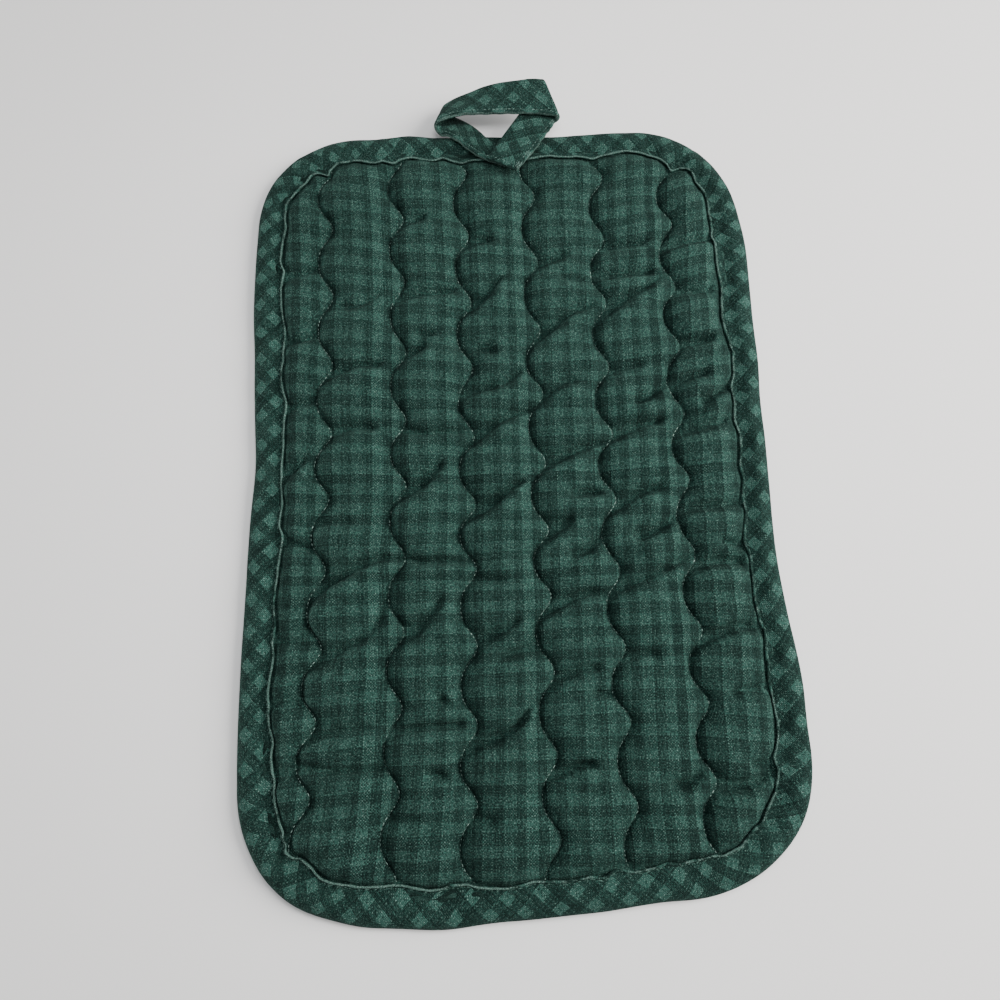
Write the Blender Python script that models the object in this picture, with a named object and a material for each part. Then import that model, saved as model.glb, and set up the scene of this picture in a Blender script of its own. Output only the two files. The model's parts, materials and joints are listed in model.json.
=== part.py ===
"""A quilted pot holder, lying face up, with a bias binding and a sewn hanging loop.

The tables below are in millimetres on the pad's own plan: x to the right, y towards the
loop, both from the middle of the pad, and z up from the table that the pad lies on.
The finished pieces are in metres, with the origin under the middle of the whole thing.
"""

import math

import bmesh
import bpy
import numpy as np
from mathutils import Vector
from mathutils.geometry import delaunay_2d_cdt

MM = 0.001
PAD_MIDDLE = (-0.28, -8.44)  # the pad's middle, from the middle of pad and loop together

# ---------------------------------------------------------------- the pad's outline
HALF_WIDTH = 101.5
HALF_LENGTH = 155.0
CORNER_RADIUS = {"top right": 42.0, "top left": 43.0, "bottom left": 45.0, "bottom right": 51.0}

# How far the real edge wanders out (+) or in (-) from that plain shape.
EDGE_SWAY = [  # x, y, out
    (102, -97, 0.6), (102, -84, 1.0), (102, -70, 0.0), (102, -55, -1.2), (102, -36, -2.3),
    (102, -12, -2.0), (102, 12, -1.2), (102, 30, -0.7), (102, 45, 0.3), (102, 62, 0.4),
    (102, 80, 1.1), (102, 101, 1.4), (100, 120, -0.4), (95, 135, -0.7), (82, 149, -0.1),
    (62, 155, 0.0), (42, 155, -0.4), (26, 155, -1.4), (12, 155, -1.3), (-8, 155, -0.3),
    (-27, 155, -0.6), (-39, 155, 0.4), (-53, 155, -1.0), (-73, 153, -0.8), (-90, 142, 0.2),
    (-101, 118, 0.0), (-102, 95, 0.7), (-102, 66, 0.7), (-102, 47, -0.4), (-102, 30, -1.0),
    (-102, 8, -1.9), (-102, -16, -0.8), (-102, -43, 0.0), (-102, -70, 0.8), (-102, -98, 0.9),
    (-98, -127, 0.2), (-85, -145, 0.1), (-68, -154, -0.9), (-52, -155, 0.8), (-31, -155, 2.3),
    (-16, -155, 1.2), (2, -155, 0.7), (22, -155, -0.5), (38, -155, -1.8), (54, -155, -2.6),
    (74, -150, -1.5), (83, -143, -0.4), (92, -133, 0.8), (101, -112, 0.8),
]

# ---------------------------------------------------------------- the binding
BINDING_WIDTH = 11.8  # what shows of it on the top
BINDING_WIDTH_BELOW = 11.2
BINDING_HEIGHT = 5.6
CUT_EDGE_INSET = 3.0  # the pad's cut edge, inside the binding

# Where quilting lines and folds pull the binding's inner edge inwards.
NOTCHES = [  # x, y, depth, reach along the edge
    (-102, 91, 1.2, 4.0), (-102, 63, 1.3, 5.0), (-102, 33.5, 1.3, 5.0), (-102, -6, 1.0, 5.0),
    (-102, -20.5, 1.5, 3.5), (-102, -54, 0.9, 3.5), (-102, -97, 1.1, 4.5),
    (-102, -109, 1.3, 5.0), (-90, -142, 2.4, 6.0), (-58, -155, 1.0, 8.0),
    (-24, -155, 3.4, 5.0), (-6, -155, -0.4, 6.0), (4, -155, 0.9, 7.0), (30, -155, 1.9, 4.5),
    (55, -155, 1.2, 6.0), (76, -149, 1.9, 9.0), (92, -134, 1.6, 9.0), (102, -107, 2.3, 5.0),
    (102, -79, 1.5, 6.0), (102, -52, -0.5, 6.0), (102, -28, 1.4, 4.0), (102, -12.5, 0.9, 3.0),
    (102, 2, 0.6, 3.5), (102, 19.5, 1.1, 3.0), (102, 34.5, 1.3, 3.0), (102, 48, -1.0, 5.0),
    (102, 66, 1.4, 3.5), (102, 88, 1.4, 8.0), (102, 102.5, 3.2, 5.0), (100, 122, 1.8, 7.0),
    (86, 144, 6.6, 5.0), (72, 154, 2.2, 5.0), (57, 155, -1.6, 7.0), (41, 155, 2.2, 4.0),
    (28, 155, -0.4, 6.0), (-16, 155, 2.6, 4.5), (-29, 155, 1.0, 4.0), (-46, 155, 3.4, 4.5),
    (-60, 155, 0.6, 5.0), (-78, 151, 4.4, 4.5), (-88, 144, 4.0, 4.0), (-96, 132, 2.2, 5.0),
    (-36, 155, 0.7, 45.0), (40, 155, 0.7, 45.0),
]

# ---------------------------------------------------------------- the quilting
CREST = 7.9  # the pad's full thickness, between two lines
SEWN_TOP = 4.3  # its top and underside along a quilting line
SEWN_UNDER = 1.4
RIM_TOP = 3.4  # its top inside the binding
PUFF_REACH = 13.0  # how far from a seam the filling is full
GROOVE_REACH = 4.2  # the same on the underside, which lies flat between the seams
LINE_SWING = 3.0
LINE_SHARPNESS = 0.15  # the right-hand turns are a little tighter
LINE_PERIOD = 28.2
LINE_PLACES = (140.0, 0.0, -135.0)

# Six lines are sewn from the top to the bottom. Each row has the line's middle at
# LINE_PLACES and the heights at which it turns back from the right.
LINES = [  # x at the top, middle and bottom; y of each turn from the right
    ((-74.7, -73.9, -81.1), (109.3, 78.1, 48.3, 19.2, -6.9, -34.2, -62.9, -88.6, -114.3)),
    ((-45.0, -44.8, -49.6), (141.7, 113.2, 84.1, 53.0, 23.9, -2.6, -30.5, -58.1, -84.5, -113.5)),
    ((-17.4, -18.2, -22.1), (134.8, 105.0, 74.1, 45.1, 16.7, -10.7, -35.4, -64.1, -91.7, -118.3)),
    ((11.6, 9.2, 6.9), (122.6, 92.0, 60.9, 33.7, 4.8, -21.5, -46.7, -74.3, -103.1, -130.7)),
    ((41.3, 35.7, 34.6), (131.0, 102.0, 72.1, 44.3, 15.8, -10.6, -38.4, -66.6, -92.9, -121.1)),
    ((70.2, 64.9, 62.8), (135.1, 107.9, 79.1, 52.0, 23.2, -3.9, -33.0, -61.6, -87.6, -114.1)),
]
SIDE_SEAM = (-89.7, 89.0)  # the binding's inner edges, where the outer channels end

# Soft folds that cross the channels. A channel is numbered by the line on its left, and
# a fold runs between two shares of the channel's width, through three heights.
FOLDS = [  # channel, from, to, y at the left, middle and right, depth, half width
    (0, 0.0, 1.0, 89.5, 89.5, 93.0, 1.2, 2.6),
    (0, 0.0, 1.0, 59.0, 58.5, 60.5, 1.4, 2.4),
    (0, 0.0, 1.0, 32.0, 31.5, 33.0, 1.2, 2.4),
    (0, 0.0, 0.8, 3.5, 5.0, 9.0, 0.9, 2.4),
    (0, 0.0, 1.0, -20.5, -23.0, -26.0, 1.3, 2.2),
    (0, 0.0, 1.0, -56.0, -58.0, -60.0, 1.4, 2.4),
    (0, 0.0, 0.9, -80.0, -80.0, -82.0, 0.8, 2.4),
    (0, 0.0, 1.0, -103.5, -103.0, -101.5, 1.1, 2.4),
    (0, 0.0, 1.0, -127.5, -125.5, -123.5, 0.9, 2.6),
    (1, 0.1, 0.8, 76.5, 74.0, 80.5, 1.0, 2.4),
    (1, 0.0, 0.8, 43.0, 47.0, 49.0, 1.5, 3.0),
    (1, 0.0, 0.7, 17.0, 19.5, 22.5, 0.8, 3.0),
    (1, 0.0, 0.6, -13.5, -15.5, -15.5, 0.9, 3.0),
    (1, 0.0, 1.0, -46.5, -34.0, -30.0, 1.9, 2.6),
    (1, 0.0, 1.0, -68.0, -60.0, -46.5, 1.2, 3.2),
    (1, 0.0, 0.8, -94.5, -90.5, -88.5, 1.2, 2.8),
    (1, 0.0, 1.0, -101.0, -103.5, -103.0, 1.0, 2.0),
    (2, 0.0, 0.5, 108.0, 111.5, 116.0, 1.0, 2.8),
    (2, 0.0, 0.9, 76.0, 78.5, 79.0, 1.0, 2.6),
    (2, 0.0, 0.5, 51.5, 53.0, 56.0, 1.4, 2.6),
    (2, 0.0, 1.0, 21.0, 19.5, 20.0, 1.5, 2.0),
    (2, 0.0, 0.8, -6.5, -1.5, 6.0, 1.4, 2.6),
    (2, 0.0, 1.0, -29.5, -31.0, -32.0, 1.7, 2.2),
    (2, 0.0, 0.8, -61.0, -57.5, -48.0, 1.7, 2.8),
    (2, 0.0, 0.9, -93.0, -90.0, -89.0, 1.7, 2.4),
    (2, 0.0, 0.5, -118.0, -120.0, -120.5, 0.9, 3.0),
    (3, 0.0, 0.5, 99.5, 101.0, 102.0, 0.8, 2.6),
    (3, 0.0, 0.7, 69.5, 75.0, 85.0, 1.6, 2.6),
    (3, 0.0, 0.9, 33.0, 36.0, 42.0, 1.2, 2.6),
    (3, 0.0, 1.0, 11.5, 19.0, 26.0, 1.8, 2.6),
    (3, 0.0, 0.9, -13.0, -9.5, -5.5, 1.6, 2.4),
    (3, 0.0, 0.6, -40.5, -37.5, -36.5, 0.9, 3.0),
    (3, 0.0, 0.8, -64.5, -60.5, -56.5, 1.8, 2.6),
    (3, 0.3, 1.0, -69.5, -67.5, -65.5, 0.9, 2.4),
    (3, 0.0, 0.9, -99.0, -97.5, -88.5, 1.8, 2.4),
    (3, 0.0, 0.4, -120.5, -121.5, -122.5, 0.8, 3.0),
    (4, 0.0, 0.6, 89.5, 91.5, 94.5, 0.9, 3.0),
    (4, 0.4, 1.0, 85.5, 83.5, 81.0, 0.9, 2.4),
    (4, 0.0, 0.9, 52.5, 62.5, 69.5, 1.8, 2.8),
    (4, 0.0, 0.7, 27.0, 36.0, 40.5, 1.7, 2.8),
    (4, 0.0, 1.0, 3.0, 9.0, 14.0, 1.7, 2.4),
    (4, 0.4, 0.9, -9.0, -8.5, -7.5, 0.9, 2.4),
    (4, 0.0, 0.5, -26.5, -23.5, -21.0, 1.4, 2.8),
    (4, 0.4, 1.0, -33.0, -30.5, -27.0, 0.9, 2.4),
    (4, 0.0, 1.0, -55.5, -47.5, -46.0, 1.9, 2.4),
    (4, 0.0, 0.8, -80.0, -74.0, -71.5, 1.6, 2.6),
    (4, 0.0, 0.7, -109.0, -106.0, -106.0, 1.7, 2.2),
    (5, 0.0, 0.8, 97.0, 99.5, 99.0, 1.1, 2.8),
    (5, 0.0, 0.9, 85.5, 84.5, 85.5, 1.0, 2.8),
    (5, 0.0, 0.9, 63.5, 73.0, 80.0, 1.9, 3.4),
    (5, 0.4, 1.0, 30.0, 30.0, 32.5, 1.1, 2.4),
    (5, 0.0, 0.8, 11.5, 17.5, 22.5, 1.4, 2.8),
    (5, 0.0, 0.7, -18.0, -11.0, -5.5, 1.8, 3.2),
    (5, 0.3, 1.0, -24.5, -23.5, -19.5, 1.2, 2.4),
    (5, 0.0, 1.0, -49.5, -40.5, -31.5, 1.9, 2.6),
    (5, 0.0, 0.6, -71.0, -67.5, -69.0, 1.3, 2.8),
    (5, 0.4, 0.9, -115.5, -115.0, -112.5, 1.1, 2.4),
    (6, 0.0, 1.0, 95.5, 97.5, 100.0, 1.4, 2.4),
    (6, 0.0, 0.9, 80.0, 78.0, 77.0, 0.8, 3.2),
    (6, 0.0, 0.8, 50.5, 52.5, 56.5, 1.7, 2.6),
    (6, 0.0, 0.7, 36.5, 38.5, 40.0, 1.1, 2.8),
    (6, 0.3, 1.0, 29.5, 30.0, 33.0, 1.1, 2.4),
    (6, 0.0, 0.9, 15.5, 15.5, 17.0, 0.8, 3.0),
    (6, 0.0, 1.0, -16.0, -14.5, -14.0, 1.2, 2.4),
    (6, 0.4, 1.0, -31.0, -30.0, -28.5, 0.9, 2.2),
    (6, 0.0, 0.9, -39.5, -36.5, -35.5, 1.7, 2.6),
    (6, 0.0, 1.0, -62.0, -58.0, -60.5, 2.4, 2.4),
    (6, 0.3, 1.0, -82.0, -82.0, -82.5, 0.8, 2.2),
    (6, 0.5, 1.0, -108.0, -107.0, -106.0, 0.9, 2.2),
    (6, 0.0, 1.0, -112.0, -114.0, -111.5, 2.0, 2.6),
]
FOLD_FADE = 0.14  # share of a channel over which a fold's free end fades

# The loop's sewn ends press the pad and the binding down here.
LOOP_PRESS = {
    "middle": (4.0, 137.0), "reach": (11.5, 8.0), "share": 0.93,
    "on the binding": 24.0, "height": 4.75,
}

# ---------------------------------------------------------------- the hanging loop
LOOP_CLOTH = 1.8  # a strip folded in four
# Straight lines across the strip, from its stitched edge to its folded edge.
LOOP_RULINGS = [  # x, y, z at the stitched edge; x, y, z at the folded edge
    (5.8, 135.4, 6.5, 7.5, 146.0, 6.4),  # lower end, sewn down
    (-0.4, 137.6, 6.6, 1.8, 147.0, 6.3),
    (-6.2, 140.1, 6.6, -3.6, 149.6, 6.2),
    (-12.5, 144.4, 6.9, -7.4, 154.4, 5.4),
    (-17.0, 148.7, 7.1, -10.9, 158.4, 4.5),
    (-21.5, 151.7, 7.1, -15.1, 162.2, 3.2),
    (-24.4, 152.5, 6.8, -18.3, 164.8, 2.4),
    (-25.9, 153.8, 7.1, -20.4, 166.8, 2.7),  # the soft turn on the left
    (-26.4, 154.9, 8.4, -21.9, 167.6, 4.0),
    (-25.9, 155.5, 10.0, -22.2, 167.8, 5.6),
    (-23.8, 155.8, 11.6, -20.9, 168.0, 7.0),
    (-19.8, 156.8, 12.3, -17.3, 169.4, 8.1),  # the band across the top
    (-14.3, 157.5, 12.7, -11.6, 170.6, 9.7),
    (-6.5, 157.5, 12.7, -5.0, 172.0, 11.7),
    (1.8, 157.9, 12.3, 2.4, 172.9, 13.0),
    (11.1, 158.1, 11.9, 9.8, 173.5, 13.4),
    (17.0, 158.0, 11.6, 13.9, 174.0, 13.5),
    (21.6, 157.6, 11.5, 16.9, 174.1, 13.5),
    (24.5, 157.0, 11.4, 18.9, 173.9, 13.4),  # the flat turn on the right
    (25.7, 157.2, 11.0, 20.0, 174.1, 13.0),
    (26.2, 157.1, 9.9, 20.4, 174.1, 11.9),
    (25.8, 156.8, 8.8, 19.9, 173.8, 10.8),
    (24.6, 155.9, 8.4, 18.6, 172.8, 10.4),
    (23.0, 153.3, 8.3, 13.6, 166.0, 9.7),
    (21.6, 151.4, 8.5, 9.3, 159.9, 9.2),
    (19.6, 148.5, 8.8, 5.9, 155.0, 9.0),
    (16.1, 143.3, 8.9, 1.6, 148.9, 8.8),
    (11.3, 137.4, 8.8, -3.0, 141.9, 8.7),
    (7.2, 132.6, 8.6, -5.6, 138.9, 8.7),  # upper end, sewn down
]

# ---------------------------------------------------------------- how finely it is cut up
PLAIN_STEP = 0.5
EDGE_POINTS = 170
EDGE_BIAS = 3.0  # how much closer the points stand beside a notch
ROW_PITCH = 3.7
TOP_COLUMNS = (0.08, 0.25, 0.5, 0.75, 0.92)  # shares of a channel, between its lines
UNDER_ROW_PITCH = 7.0
UNDER_COLUMNS = (0.2, 0.8)
LOOP_SPLITS = 2


# ================================================================ curves
def smooth(places, values, at, period=None):
    """A smooth curve through (places, values), read at the given places."""
    places = np.asarray(places, float)
    values = np.asarray(values, float)
    if period:
        order = np.argsort(places)
        places = places[order]
        values = values[order]
        places = np.concatenate([places[-2:] - period, places, places[:2] + period])
        values = np.concatenate([values[-2:], values, values[:2]])
    slopes = np.gradient(values, places)
    i = np.clip(np.searchsorted(places, at) - 1, 0, len(places) - 2)
    gap = places[i + 1] - places[i]
    t = (at - places[i]) / gap
    return (
        values[i] * (1 + 2 * t) * (1 - t) ** 2
        + slopes[i] * gap * t * (1 - t) ** 2
        + values[i + 1] * t * t * (3 - 2 * t)
        + slopes[i + 1] * gap * t * t * (t - 1)
    )


def ease(t):
    """0 to 1, flat at both ends."""
    t = np.clip(t, 0, 1)
    return t * t * (3 - 2 * t)


class Edge:
    """The pad's outline: a rounded rectangle, and how its real edge wanders from it."""

    def __init__(self):
        self.points, self.outward = self.plain_outline()
        steps = np.linalg.norm(np.roll(self.points, -1, 0) - self.points, axis=1)
        self.round = float(steps.sum())
        self.places = np.concatenate([[0.0], np.cumsum(steps)[:-1]])
        rows = np.array(EDGE_SWAY, float)
        self.sway = smooth(self.place_of(rows[:, :2]), rows[:, 2], self.places, self.round)
        self.notch = self.notches()
        pull = 1 + EDGE_BIAS * np.abs(np.gradient(self.notch, self.places))
        share = np.cumsum(pull) / pull.sum()
        self.stations = np.searchsorted(share, np.arange(EDGE_POINTS) / EDGE_POINTS)

    @staticmethod
    def plain_outline():
        """The rounded rectangle, from the lower right corner and on to the left."""
        corners = [
            ("top right", 1, 1, 0.0), ("top left", -1, 1, 90.0),
            ("bottom left", -1, -1, 180.0), ("bottom right", 1, -1, 270.0),
        ]
        points = []
        outward = []
        for name, x_side, y_side, start in corners:
            radius = CORNER_RADIUS[name]
            middle = np.array([x_side * (HALF_WIDTH - radius), y_side * (HALF_LENGTH - radius)])
            count = round(radius * math.pi / 2 / PLAIN_STEP)
            angle = np.radians(start + np.linspace(0, 90, count + 1))
            spoke = np.stack([np.cos(angle), np.sin(angle)], 1)
            arc = middle + radius * spoke
            if points:
                before = points[-1][-1]
                run = np.linalg.norm(arc[0] - before)
                share = np.arange(1, round(run / PLAIN_STEP))[:, None] * PLAIN_STEP / run
                points.append(before + share * (arc[0] - before))
                outward.append(np.repeat(spoke[:1], len(share), 0))
            points.append(arc)
            outward.append(spoke)
        before, after = points[-1][-1], points[0][0]
        run = np.linalg.norm(after - before)
        share = np.arange(1, round(run / PLAIN_STEP))[:, None] * PLAIN_STEP / run
        points.append(before + share * (after - before))
        outward.append(np.repeat(outward[0][:1], len(share), 0))
        return np.concatenate(points), np.concatenate(outward)

    def nearest(self, xy):
        """The index of the plain outline's point nearest to each place."""
        xy = np.asarray(xy, float).reshape(-1, 2)
        found = np.empty(len(xy), int)
        for first in range(0, len(xy), 500):
            part = xy[first:first + 500, None] - self.points[None]
            found[first:first + 500] = np.argmin((part ** 2).sum(2), axis=1)
        return found

    def place_of(self, xy):
        """How far round the edge, in mm, each place lies."""
        return self.places[self.nearest(xy)]

    def notches(self):
        """How much wider the binding shows at each point of the plain outline."""
        total = np.zeros(len(self.places))
        for x, y, depth, reach in NOTCHES:
            away = np.abs(self.places - self.place_of([(x, y)])[0])
            away = np.minimum(away, self.round - away)
            total += depth * np.exp(-((away / reach) ** 2) * 2)
        return total

    def inset(self, xy):
        """How far inside the edge each place lies, and how wide the binding is there."""
        i = self.nearest(xy)
        inside = ((self.points[i] - xy) * self.outward[i]).sum(1) + self.sway[i]
        return inside, BINDING_WIDTH + self.notch[i]

    def ring(self, inset, at_notch=0.0):
        """A closed run of points that far inside the edge, or inside the binding."""
        i = self.stations
        back = self.sway[i] - inset - at_notch * self.notch[i]
        return self.points[i] + self.outward[i] * back[:, None]


def line_x(number, y):
    """x of a quilting line at height y, and the cosine of its slant there."""
    middles, turns = LINES[number]
    bend = np.polyfit(LINE_PLACES, middles, 2)
    first, last = turns[0], turns[-1]
    heights = [last - 2 * LINE_PERIOD, last - LINE_PERIOD, *turns[::-1]]
    heights += [first + LINE_PERIOD, first + 2 * LINE_PERIOD]
    turn = 2 * math.pi * smooth(heights, np.arange(len(heights)), y)
    shape = np.cos(turn) + LINE_SHARPNESS * np.cos(2 * turn)
    slope = np.sin(turn) + 2 * LINE_SHARPNESS * np.sin(2 * turn)
    slope *= LINE_SWING * 2 * math.pi / LINE_PERIOD
    return np.polyval(bend, y) + LINE_SWING * shape, 1 / np.sqrt(1 + slope ** 2)


def channel_sides(number, y):
    """x at the left and right side of a channel."""
    left = np.full_like(y, SIDE_SEAM[0]) if number == 0 else line_x(number - 1, y)[0]
    last = len(LINES)
    right = np.full_like(y, SIDE_SEAM[1]) if number == last else line_x(number, y)[0]
    return left, right


# ================================================================ the pad's surfaces
def swell(distance, reach):
    """How full the filling is, from 0 at a seam to 1 a reach away from it."""
    t = np.clip(distance / reach, 0, 1)
    return (1 - (1 - t) ** 2) ** 0.7


def fold_depth(xy):
    """How deep the soft folds lie at each place."""
    x, y = xy[:, 0], xy[:, 1]
    total = np.zeros(len(xy))
    for channel, start, end, y_left, y_middle, y_right, depth, half_width in FOLDS:
        left, right = channel_sides(channel, y)
        share = (x - left) / (right - left)
        bend = np.polyfit((start, (start + end) / 2, end), (y_left, y_middle, y_right), 2)
        height = np.polyval(bend, share)
        slope = np.polyval(np.polyder(bend), share) / (right - left)
        away = (y - height) / np.sqrt(1 + slope ** 2)
        fade_in = 1.0 if start == 0 else ease((share - start) / FOLD_FADE)
        fade_out = 1.0 if end == 1 else ease((end - share) / FOLD_FADE)
        inside = (share > 0) & (share < 1)
        trough = np.exp(-((away / half_width) ** 2))
        lip = 0.28 * np.exp(-(((away + 2.1 * half_width) / (1.5 * half_width)) ** 2))
        total += np.where(inside, depth * (trough - lip) * fade_in * fade_out, 0)
    return total


def pad_heights(xy, edge):
    """z of the pad's top and underside at each place."""
    x, y = xy[:, 0], xy[:, 1]
    inside, width = edge.inset(xy)
    full = swell(inside - width - 0.4, PUFF_REACH)
    clear = ease((inside - BINDING_WIDTH_BELOW - 0.5) / GROOVE_REACH)
    for number in range(len(LINES)):
        at, slant = line_x(number, y)
        away = np.abs(x - at) * slant
        full = full * swell(away, PUFF_REACH)
        clear = clear * ease(away / GROOVE_REACH)
    from_press = (xy - LOOP_PRESS["middle"]) / LOOP_PRESS["reach"]
    full = full * (1 - LOOP_PRESS["share"] * np.exp(-(from_press ** 2).sum(1)))
    sewn = RIM_TOP + (SEWN_TOP - RIM_TOP) * ease((inside - width - 0.4) / 3)
    top = sewn + (CREST - SEWN_TOP) * full - fold_depth(xy) * np.sqrt(full)
    top = np.where(inside < width + 0.4, RIM_TOP, top)
    under = SEWN_UNDER * (1 - clear)
    under = np.where(inside < BINDING_WIDTH_BELOW + 0.4, SEWN_UNDER, under)
    return top, under


def plan_points(edge, pitch, shares, rings):
    """The points and sewn lines that a surface of the pad is laid out on."""
    edge_line = edge.ring(CUT_EDGE_INSET)
    points = [tuple(p) for p in edge_line]
    joined = [(i, (i + 1) % EDGE_POINTS) for i in range(EDGE_POINTS)]
    innermost = rings[-1]
    for inset, at_notch in rings:
        ring = edge.ring(inset, at_notch)
        first = len(points)
        points += [tuple(p) for p in ring]
        joined += [(first + i, first + (i + 1) % EDGE_POINTS) for i in range(EDGE_POINTS)]
    half_rows = int(HALF_LENGTH / pitch)
    y = np.arange(-half_rows, half_rows + 1) * pitch
    for number in range(len(LINES)):
        line = np.stack([line_x(number, y)[0], y], 1)
        line = line[edge.inset(line)[0] > BINDING_WIDTH]
        first = len(points)
        points += [tuple(p) for p in line]
        joined += [(first + i, first + i + 1) for i in range(len(line) - 1)]
    for number in range(len(LINES) + 1):
        left, right = channel_sides(number, y)
        for share in shares:
            column = np.stack([left + share * (right - left), y], 1)
            inside, width = edge.inset(column)
            limit = innermost[0] + innermost[1] * (width - BINDING_WIDTH)
            points += [tuple(p) for p in column[inside > limit + pitch * 0.45]]
    return points, joined


def lay_out(points, joined):
    """Triangles over those points, inside the first ring, and where its points went."""
    flat = [Vector(p) for p in points]
    found, _, triangles, came_from, _, _ = delaunay_2d_cdt(flat, joined, [], 0, 1e-5, True)
    xy = np.array([tuple(p) for p in found])
    went_to = {}
    for new, olds in enumerate(came_from):
        for old in olds:
            went_to.setdefault(old, new)
    border = [went_to[i] for i in range(EDGE_POINTS)]
    ring = xy[border]
    kept = []
    for triangle in triangles:
        if is_inside(xy[list(triangle)].mean(0), ring):
            kept.append(tuple(triangle))
    return xy, kept, border


def is_inside(point, ring):
    """Whether a point lies inside a closed ring of points."""
    after = np.roll(ring, -1, 0)
    crosses = (ring[:, 1] > point[1]) != (after[:, 1] > point[1])
    run = np.where(after[:, 1] == ring[:, 1], 1, after[:, 1] - ring[:, 1])
    at = ring[:, 0] + (point[1] - ring[:, 1]) * (after[:, 0] - ring[:, 0]) / run
    return bool(np.sum(crosses & (point[0] < at)) % 2)


# ================================================================ making the pieces
def cloth(name, colour, roughness):
    """A plain cloth material."""
    material = bpy.data.materials.new(name)
    material.use_nodes = True
    shader = material.node_tree.nodes["Principled BSDF"]
    shader.inputs["Base Color"].default_value = (*colour, 1)
    shader.inputs["Roughness"].default_value = roughness
    shader.inputs["Metallic"].default_value = 0
    return material


def make_object(name, mesh_maker, material):
    """Puts a bmesh, in mm on the pad's plan, into the scene at its real size and place."""
    mesh = bpy.data.meshes.new(name)
    shift = Vector((*PAD_MIDDLE, 0))
    for vertex in mesh_maker.verts:
        vertex.co = (vertex.co + shift) * MM
    bmesh.ops.recalc_face_normals(mesh_maker, faces=mesh_maker.faces)
    mesh_maker.to_mesh(mesh)
    mesh_maker.free()
    mesh.shade_smooth()
    mesh.materials.append(material)
    thing = bpy.data.objects.new(name, mesh)
    bpy.context.scene.collection.objects.link(thing)
    return thing


def make_pad(edge, material):
    """The quilted pad: top, underside and the cut edge that joins them."""
    top_rings = [(BINDING_WIDTH + wider, 1.0) for wider in (0.4, 1.6, 4.2)]
    under_rings = [(BINDING_WIDTH_BELOW + 0.5, 0.0), (BINDING_WIDTH_BELOW + 5.2, 0.0)]
    maker = bmesh.new()
    borders = []
    layers = [
        (0, ROW_PITCH, TOP_COLUMNS, top_rings),
        (1, UNDER_ROW_PITCH, UNDER_COLUMNS, under_rings),
    ]
    for side, pitch, shares, rings in layers:
        xy, triangles, border = lay_out(*plan_points(edge, pitch, shares, rings))
        heights = pad_heights(xy, edge)[side]
        used = sorted({i for triangle in triangles for i in triangle})
        vertices = {i: maker.verts.new((*xy[i], heights[i])) for i in used}
        for triangle in triangles:
            maker.faces.new([vertices[i] for i in triangle])
        borders.append([vertices[i] for i in border])
    upper, lower = borders
    for i in range(EDGE_POINTS):
        after = (i + 1) % EDGE_POINTS
        maker.faces.new([upper[i], upper[after], lower[after], lower[i]])
    return make_object("pad", maker, material)


def binding_section(width, height):
    """The binding's cross-section: distance in from the edge, and z."""
    wall = RIM_TOP + 0.4
    floor = SEWN_UNDER - 0.35
    return [
        (width, wall), (width + 0.1, (wall + height) / 2 - 0.1), (width - 0.8, height - 0.35),
        (width * 0.5, height), (2.4, height - 0.5), (0.6, height * 0.74),
        (0.0, height * 0.5), (0.7, height * 0.2), (2.7, 0.0), (BINDING_WIDTH_BELOW - 0.3, 0.0),
        (BINDING_WIDTH_BELOW, floor * 0.6), (BINDING_WIDTH_BELOW - 0.4, floor),
        (CUT_EDGE_INSET - 0.45, floor), (CUT_EDGE_INSET - 0.45, wall),
    ]


def make_binding(edge, material):
    """The folded strip that wraps the pad's cut edge, all the way round."""
    i = edge.stations
    maker = bmesh.new()
    sections = []
    for point, outward, notch in zip(edge.ring(0.0), edge.outward[i], edge.notch[i]):
        height = BINDING_HEIGHT - min(0.18 * max(notch, 0), 0.5)
        if point[1] > 0:
            from_loop = (point[0] - LOOP_PRESS["middle"][0]) / LOOP_PRESS["on the binding"]
            height -= (height - LOOP_PRESS["height"]) * math.exp(-(from_loop ** 4))
        section = binding_section(BINDING_WIDTH + notch, height)
        places = [(*(point - outward * inset), z) for inset, z in section]
        sections.append([maker.verts.new(p) for p in places])
    count = len(sections[0])
    for k, here in enumerate(sections):
        after = sections[(k + 1) % EDGE_POINTS]
        for j in range(count):
            on = (j + 1) % count
            maker.faces.new([here[j], here[on], after[on], after[j]])
    return make_object("binding", maker, material)


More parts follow.
